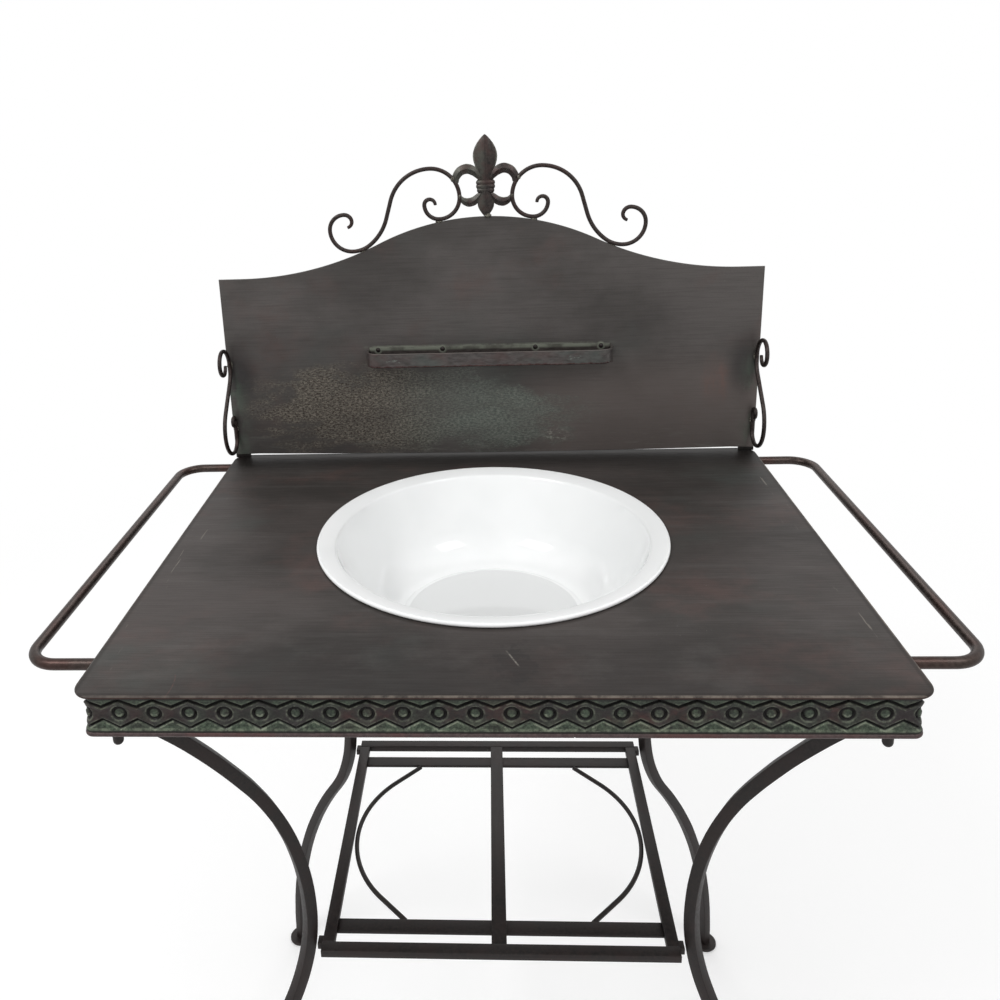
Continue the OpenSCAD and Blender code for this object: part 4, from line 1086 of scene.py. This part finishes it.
def rail_finish():
    f = Finish("reddish rail iron")
    fine = f.grain(0.003, 1.5, (0.3, 1, 1), 4, 0.65)
    clouds = f.grain(0.03, 4.5, (0.6, 1, 1))
    f.colour = f.mix(rgb(66, 62, 61), rgb(92, 88, 86), f.span(fine, 0.3, 0.72))
    f.coat(rgb(88, 70, 68), f.span(clouds, 0.46, 0.64, 0, 0.5))
    f.coat(rgb(84, 92, 88), f.span(f.grain(0.035, 15.5, (0.6, 1, 1)), 0.5, 0.66, 0, 0.5))
    # Two short pale scratches
    for x in RAIL_SCRATCH_XS:
        near = f.oval("XZ", (x, RAIL_Z + RAIL_H / 2), RAIL_SCRATCH_SIZE)
        ragged = f.plus(near, f.span(f.grain(0.003, x * 90, (0.5, 1, 1), 4, 0.8), 0.35, 0.65, -0.7, 0.9))
        f.coat(rgb(128, 136, 130), f.span(ragged, 0.1, 0.8, 0.6, 0))
    # Rough red-brown along the lower edge, and a painted highlight along the upper
    jag = f.span(f.grain(0.003, 33.0, (0.5, 1, 1), 4, 0.7), 0.3, 0.7, -0.0010, 0.0010)
    ragged_z = f.plus(f.offset("Z", RAIL_Z), jag)
    f.coat(rgb(74, 46, 44), f.span(ragged_z, 0.0008, 0.0026, 0.8, 0))
    f.coat(rgb(30, 22, 21), f.span(ragged_z, 0.0004, 0.0009, 0.8, 0))
    f.coat(rgb(112, 104, 100), f.span(f.offset("Z", RAIL_Z + RAIL_H), -0.0010, -0.0002, 0, 0.5))
    f.bump(fine)
    f.shader.inputs["Specular IOR Level"].default_value = 0.5
    return f.paint(f.span(fine, 0.3, 0.7, 0.34, 0.46), 0.6)


SOFT = 0.0005
strip_section = [(0, SOFT), (0, RAIL_H / 2), (0, RAIL_H - SOFT), (SOFT, RAIL_H), (RAIL_T - SOFT, RAIL_H),
                 (RAIL_T, RAIL_H - SOFT), (RAIL_T, RAIL_H / 2), (RAIL_T, SOFT), (RAIL_T - SOFT, 0), (SOFT, 0)]
rings = []
for (ox, oy), (ix, iy) in zip(strip_line(0), strip_line(RAIL_T)):
    way = (Vector((ix, iy)) - Vector((ox, oy))).normalized()
    ring = []
    for depth_in, z in strip_section:
        wave = max(0, 0.0003 * noise.noise(Vector((ox * 30, z * 200, 3))))
        ring.append((ox + way.x * depth_in, oy + way.y * depth_in + wave, RAIL_Z + z))
    rings.append(ring)
piece("soap_rail_strip", skin(rings), rail_finish(), ["soap_rail"], sharp=35)


def tray_finish():
    f = Finish("tray iron")
    fine = f.grain(0.003, 2.5, (0.3, 1, 1), 4, 0.65)
    f.colour = f.mix(rgb(44, 39, 37), rgb(66, 60, 57), f.span(fine, 0.35, 0.7))
    bloom = f.along("Z", RIVET_Z - 0.0025, RIVET_Z + 0.0010, 0, 0.9)
    patchy = f.times(bloom, f.span(f.grain(0.02, rough=0.55), 0.35, 0.6, 0.35, 1))
    f.coat(rgb(126, 130, 118), f.combine("MAXIMUM", patchy, rivet_bloom(f)))
    f.bump(fine)
    return f.paint(0.5, 0.3)


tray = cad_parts["soap_tray"]
tray.data.materials.clear()
tray.data.materials.append(tray_finish())
head_section = [(0.0003, 0.0018), (0.0012, 0.0017), (0.0022, 0.0012), (0.0029, 0.0003), (0.003, 0)]
heads = []
for x in RIVET_XS:
    for sign, face_y in ((-1, PANEL_Y - TRAY_T), (1, PANEL_Y + PANEL_T)):
        heads.append(skin([[(across, face_y + sign * up, z) for across, z, up in ring]
                           for ring in lathe(head_section, 24, x, RIVET_Z)]))
piece("rivet_heads", joined(heads), leg_iron, ["rail_rivets"])

# ---------------------------------------------------------------------------
# Finial. A cast fleur: a ridged leaf above, two pairs of curled petals, a
# collar of three ribs and a short leaf below, welded to the panel's crown.

MM = 0.001
CREST_Y = PANEL_Y + PANEL_T / 2
FINIAL_Z = TABLE_Z + CROWN_H + 0.0003


def leaf(outline_rows, thick, edge_thick):
    """A leaf with a sharp ridge, from rows of (height, half width, fullness), its flanks hollow."""
    half_shares = [0.06, 0.16, 0.3, 0.48, 0.66, 0.82, 0.94, 1]
    shares = [-u for u in half_shares[::-1]] + [0] + half_shares
    rings, edges, ridge_shade_marks = [], [], []
    for z, w, t in outline_rows:
        ring = []
        for face, row in ((-1, shares), (1, shares[::-1])):
            for u in row:
                lift = (edge_thick * (1 if abs(u) < 0.99 else 0.4)
                        + (thick * t - edge_thick) * (1 - abs(u)) ** 1.35)
                ring.append((w * u, CREST_Y + face * lift, FINIAL_Z + z))
                edges.append(1.0 if abs(u) > 0.9 else 0.0)
                ridge_shade_marks.append(1.0 if u == 0 else 0.0)
        rings.append(ring)
    return skin(rings), edges, ridge_shade_marks


upper_leaf = [(0.042, 0.0050, 0.8), (0.047, 0.0066, 0.9), (0.053, 0.0096, 0.97), (0.059, 0.0122, 1),
              (0.064, 0.0137, 1), (0.069, 0.0143, 1), (0.074, 0.0138, 1), (0.079, 0.0121, 0.96),
              (0.084, 0.0094, 0.88), (0.088, 0.0064, 0.78), (0.0915, 0.0033, 0.6), (0.0938, 0.0006, 0.4)]
lower_leaf = [(0.0003, 0.0028, 0.6), (0.003, 0.0048, 0.8), (0.007, 0.0076, 0.95), (0.011, 0.0094, 1),
              (0.0145, 0.0098, 1), (0.019, 0.0092, 1), (0.024, 0.0084, 1), (0.029, 0.0078, 0.95)]


def petal(line, widths, flip):
    """A petal along a curve through points, with a ridge along it and hollow flanks."""
    shares = [-1, -0.9, -0.7, -0.45, -0.2, 0.05, 0.3, 0.55, 0.78, 0.93, 1]
    ends = [Vector(p) * MM for p in line]
    ends = [2 * ends[0] - ends[1]] + ends + [2 * ends[-1] - ends[-2]]
    middle = []
    for n in range(1, len(ends) - 2):
        p0, p1, p2, p3 = ends[n - 1:n + 3]
        for i in range(7):
            t = i / 6
            if t == 1 and n < len(ends) - 3:
                continue
            at = 0.5 * (2 * p1 + (p2 - p0) * t + (2 * p0 - 5 * p1 + 4 * p2 - p3) * t ** 2
                        + (3 * p1 - 3 * p2 + p3 - p0) * t ** 3)
            middle.append((at, MM * (widths[n - 1] + (widths[n] - widths[n - 1]) * t)))
    rings, edges = [], []
    for i, (at, w) in enumerate(middle):
        run = (middle[min(i + 1, len(middle) - 1)][0] - middle[max(i - 1, 0)][0]).normalized()
        spoke = Vector((-run.y, run.x)) if run.x * at.y >= run.y * at.x - 1 else run
        ring = []
        for face, row in ((-1, shares), (1, shares[::-1])):
            for u in row:
                slope = (1 - u) / 0.95 if u > 0.05 else (1 + u) / 1.05
                lift = 0.0008 + min(0.0032, 0.30 * w) * min(1, slope) ** 1.3
                p = at + spoke * (w / 2 * u)
                ring.append((flip * p.x, CREST_Y + face * lift, FINIAL_Z + p.y))
                edges.append(1.0 if abs(u) > 0.92 else 0.0)
        rings.append(ring)
    return skin(rings), edges, [0.0] * len(edges)


def plain(shape):
    """A shape with no pale edge or dark ridge marks."""
    return shape, [0.0] * len(shape[0]), [0.0] * len(shape[0])


shapes = [leaf(upper_leaf, 0.0058, 0.0011), leaf(lower_leaf, 0.0050, 0.0012)]
upper_petal = [(5.0, 41.0), (8.0, 46.5), (13.8, 52.4), (21.5, 55.2), (29.5, 52.6), (34.4, 46.0), (34.8, 39.4)]
upper_widths = [4.5, 7.5, 10.8, 11.6, 10.8, 9.4, 6.4]
lower_petal = [(5.0, 27.5), (9.0, 22.5), (14.0, 18.0), (20.3, 16.4), (26.3, 18.6), (30.0, 23.6)]
lower_widths = [4.5, 8.0, 10.2, 10.4, 7.8, 2.6]
for flip in (-1, 1):
    shapes.append(petal(upper_petal, upper_widths, flip))
    shapes.append(petal(lower_petal, lower_widths, flip))


def rib_radius(t):
    """A collar rib's radius at a share of its length, swelling towards the middle."""
    return (0.0022 if t in (0, 1) else 0.0030) + 0.0012 * math.sin(math.pi * t)


COLLAR_ZS = (0.0300, 0.0345, 0.0390)
for z in COLLAR_ZS:
    reach = 0.0095 if z == COLLAR_ZS[0] else 0.0104
    bar = [(x, CREST_Y, FINIAL_Z + z) for x in (-reach, -reach + 0.001, -0.004, 0.004, reach - 0.001, reach)]
    shapes.append(plain(tube(bar, rib_radius, 20)))
stem = [(0, CREST_Y, FINIAL_Z + z) for z in (0.026, 0.030, 0.035, 0.040, 0.045)]
shapes.append(plain(tube(stem, 0.0036, 16)))


def cast_finish():
    f = Finish("cast finial iron")
    fine = f.grain(0.0030, 1.5)
    clouds = f.grain(0.018, 4.5)
    f.colour = f.mix(rgb(38, 33, 32), rgb(62, 56, 53), f.span(fine, 0.3, 0.72))
    # Paler grey-green on the left flank: painted light from the left, in the patina's colour
    green = f.times(f.along("X", 0.003, -0.006), f.span(clouds, 0.35, 0.6, 0.1, 0.6))
    f.coat(rgb(84, 85, 78), green)
    f.coat(rgb(68, 48, 45), f.span(f.grain(0.014, 7.7), 0.46, 0.64, 0, 0.5))
    # Pale edges, partly wear and partly painted highlights
    wear_and_highlight = f.span(f.grain(0.008, 19.0, rough=0.7), 0.4, 0.6, 0.05, 0.75)
    f.coat(rgb(122, 124, 114), f.times(f.span(f.mark("edge_wear_and_highlight"), 0.2, 1), wear_and_highlight))
    # A painted shade line along the leaf's ridge
    f.coat(rgb(30, 24, 23), f.span(f.mark("ridge"), 0.3, 0.9, 0, 0.75))
    f.bump(fine)
    return f.paint(f.span(fine, 0.3, 0.7, 0.36, 0.48), 0.6)


edges = [e for _, wear_and_highlight, _ in shapes for e in wear_and_highlight]
ridge_shade_marks = [r for _, _, ridge in shapes for r in ridge]
piece("cast_fleur", joined([shape for shape, _, _ in shapes]), cast_finish(), ["finial"], sharp=45,
      marks={"edge_wear_and_highlight": edges, "ridge": ridge_shade_marks})

# ---------------------------------------------------------------------------
# Crest scrolls. Round iron rod curled at both ends, welded to the panel's edge
# on either side of the finial and to its petals.

SWEEP = math.degrees(math.atan2(3, 4))
CREST_CURL_R, CREST_LOOP_R = 0.0065, 0.017
CREST_PATH = [(CREST_CURL_R, -180), (CREST_LOOP_R, -90), (0.025, -90), (0.034, -90), (0.050, -2 * SWEEP),
              (0, 0.0215), (0.060, SWEEP), (0.035, SWEEP), (0.026, 90), (0.018, 90),
              (0.009, 2 * SWEEP), (0.007, 90)]
CREST_X = 0.056
crest_low = panel_top(CREST_X) + ROD_R + 0.0008
scroll_iron = dark_rod_iron("scroll iron", rgb(36, 30, 29), rgb(66, 58, 55), rgb(56, 38, 35), 0.45, 0.7)


def scroll_radius(t):
    """The rod's radius at a share of its length, drawn out a little at both ends."""
    return ROD_R * min(1.0, 0.78 + 6 * t, 0.78 + 6 * (1 - t))


crest_line = trace(CREST_PATH, (CREST_X + CREST_LOOP_R - 2 * CREST_CURL_R, crest_low + CREST_LOOP_R), 90)
rod_each_side("crest_curl", "crest_scroll", [(p.x, CREST_Y, p.y) for p in crest_line],
              scroll_radius, scroll_iron, fixed=(0, 1, 0))

# ---------------------------------------------------------------------------
# Side scrolls. The same rod bent to an S, welded to the front of the panel near
# each side edge.

SIDE_PATH = [(0.009, -90), (0.014, -90), (0.015, -90), (0.027, -135), (0, 0.042), (0.036, 45),
             (0.033, 90), (0.0155, 90), (0, 0.021), (0.006, 90), (0.0055, 165)]
side_line = trace(SIDE_PATH, (0, 0), -90)
rear = max(p.x for p in side_line)
lowest = min(p.y for p in side_line)
SIDE_X = (PANEL_W - 2 * ROD_R) / 2 - 0.0015
shift_y = PANEL_Y - 0.0003 - ROD_R - rear
shift_z = TABLE_Z + 0.012 + ROD_R - lowest
rod_each_side("side_curl", "side_scroll", [(SIDE_X, p.x + shift_y, p.y + shift_z) for p in side_line],
              scroll_radius, scroll_iron, fixed=(1, 0, 0))

# ---------------------------------------------------------------------------
# Towel bars. Round iron bar bent to a U at each side, its ends welded to the
# apron just under the tabletop's edge. Waxed dark brown, with a soft sheen.

TOWEL_R, TOWEL_BEND = 0.005, 0.027
TOWEL_Z = TABLE_Z - 0.0105
TOWEL_X = TABLE_W / 2 + 0.065
ARM_FRONT, ARM_BACK = -TABLE_D / 2 + 0.060, TABLE_D / 2 - 0.020
bar_iron = dark_rod_iron("towel bar iron", rgb(54, 46, 43), rgb(76, 66, 62), rgb(66, 44, 40), 0.38, 0.85)
start_x = APRON_X + 0.0004
arm = (0, TOWEL_X - start_x - TOWEL_BEND)
towel_path = [arm, (TOWEL_BEND, 90), (0, ARM_BACK - ARM_FRONT - 2 * TOWEL_BEND), (TOWEL_BEND, 90), arm]
towel_line = trace(towel_path, (start_x, ARM_FRONT), 0, 0.003)
rod_each_side("towel_loop", "towel_bar", [(p.x, p.y, TOWEL_Z) for p in towel_line], TOWEL_R, bar_iron,
              24, ends=False, fixed=(0, 0, 1))

# ---------------------------------------------------------------------------
# Welds. Small uneven lumps of bare metal where the rods and bars meet the
# panel, the apron and each other, with pale grey-green bloom on them.


def weld_finish():
    f = Finish("weld metal")
    fine = f.grain(0.0016, rough=0.7)
    f.colour = f.mix(rgb(50, 42, 38), rgb(128, 128, 116), f.span(fine, 0.4, 0.68))
    f.bump(fine, 0.0003)
    return f.paint(0.5, 0.6)


def lump(place, size, seed):
    """One drop of weld metal."""
    work = bmesh.new()
    bmesh.ops.create_icosphere(work, subdivisions=3, radius=1)
    for v in work.verts:
        n = v.co.normalized()
        swell = 1 + 0.28 * noise.noise(n * 1.7 + Vector((seed * 3.1, seed, 0)))
        v.co = Vector(place) + Vector([n[k] * size[k] * swell for k in range(3)])
    return shape_of(work)


# Where the crest scrolls touch the finial's petals (X, height), where their outer
# curls meet the panel (X), and the heights of the side scrolls' welds
UPPER_TOUCH, LOWER_TOUCH = (0.0385, 0.0440), (0.0305, 0.0235)
CURL_X = 0.150
SIDE_WELD_ZS = (0.040, 0.123)
random.seed(5)
spots = []
for sx in (-1, 1):
    spots.append(((sx * CREST_X, CREST_Y, panel_top(CREST_X) + 0.0003), (0.0042, 0.0018, 0.0018)))
    for (x, z), size in ((UPPER_TOUCH, (0.0026, 0.0026, 0.0030)), (LOWER_TOUCH, (0.0022, 0.0024, 0.0026))):
        spots.append(((sx * x, CREST_Y - 0.001, FINIAL_Z + z), size))
    spots.append(((sx * CURL_X, CREST_Y, panel_top(CURL_X) + 0.0008), (0.0050, 0.0018, 0.0018)))
    spots += [((sx * SIDE_X, PANEL_Y - 0.0018, TABLE_Z + z), (0.0035, 0.0022, 0.0060)) for z in SIDE_WELD_ZS]
    spots += [((sx * (APRON_X + 0.0030), y, TOWEL_Z), (0.0032, 0.0062, 0.0046))
              for y in (ARM_FRONT, ARM_BACK)]
spots.append(((0.002, CREST_Y - 0.0015, FINIAL_Z + 0.0005), (0.0040, 0.0026, 0.0028)))
lumps = [lump(place, size, n + random.random()) for n, (place, size) in enumerate(spots)]
piece("weld_lumps", joined(lumps), weld_finish())
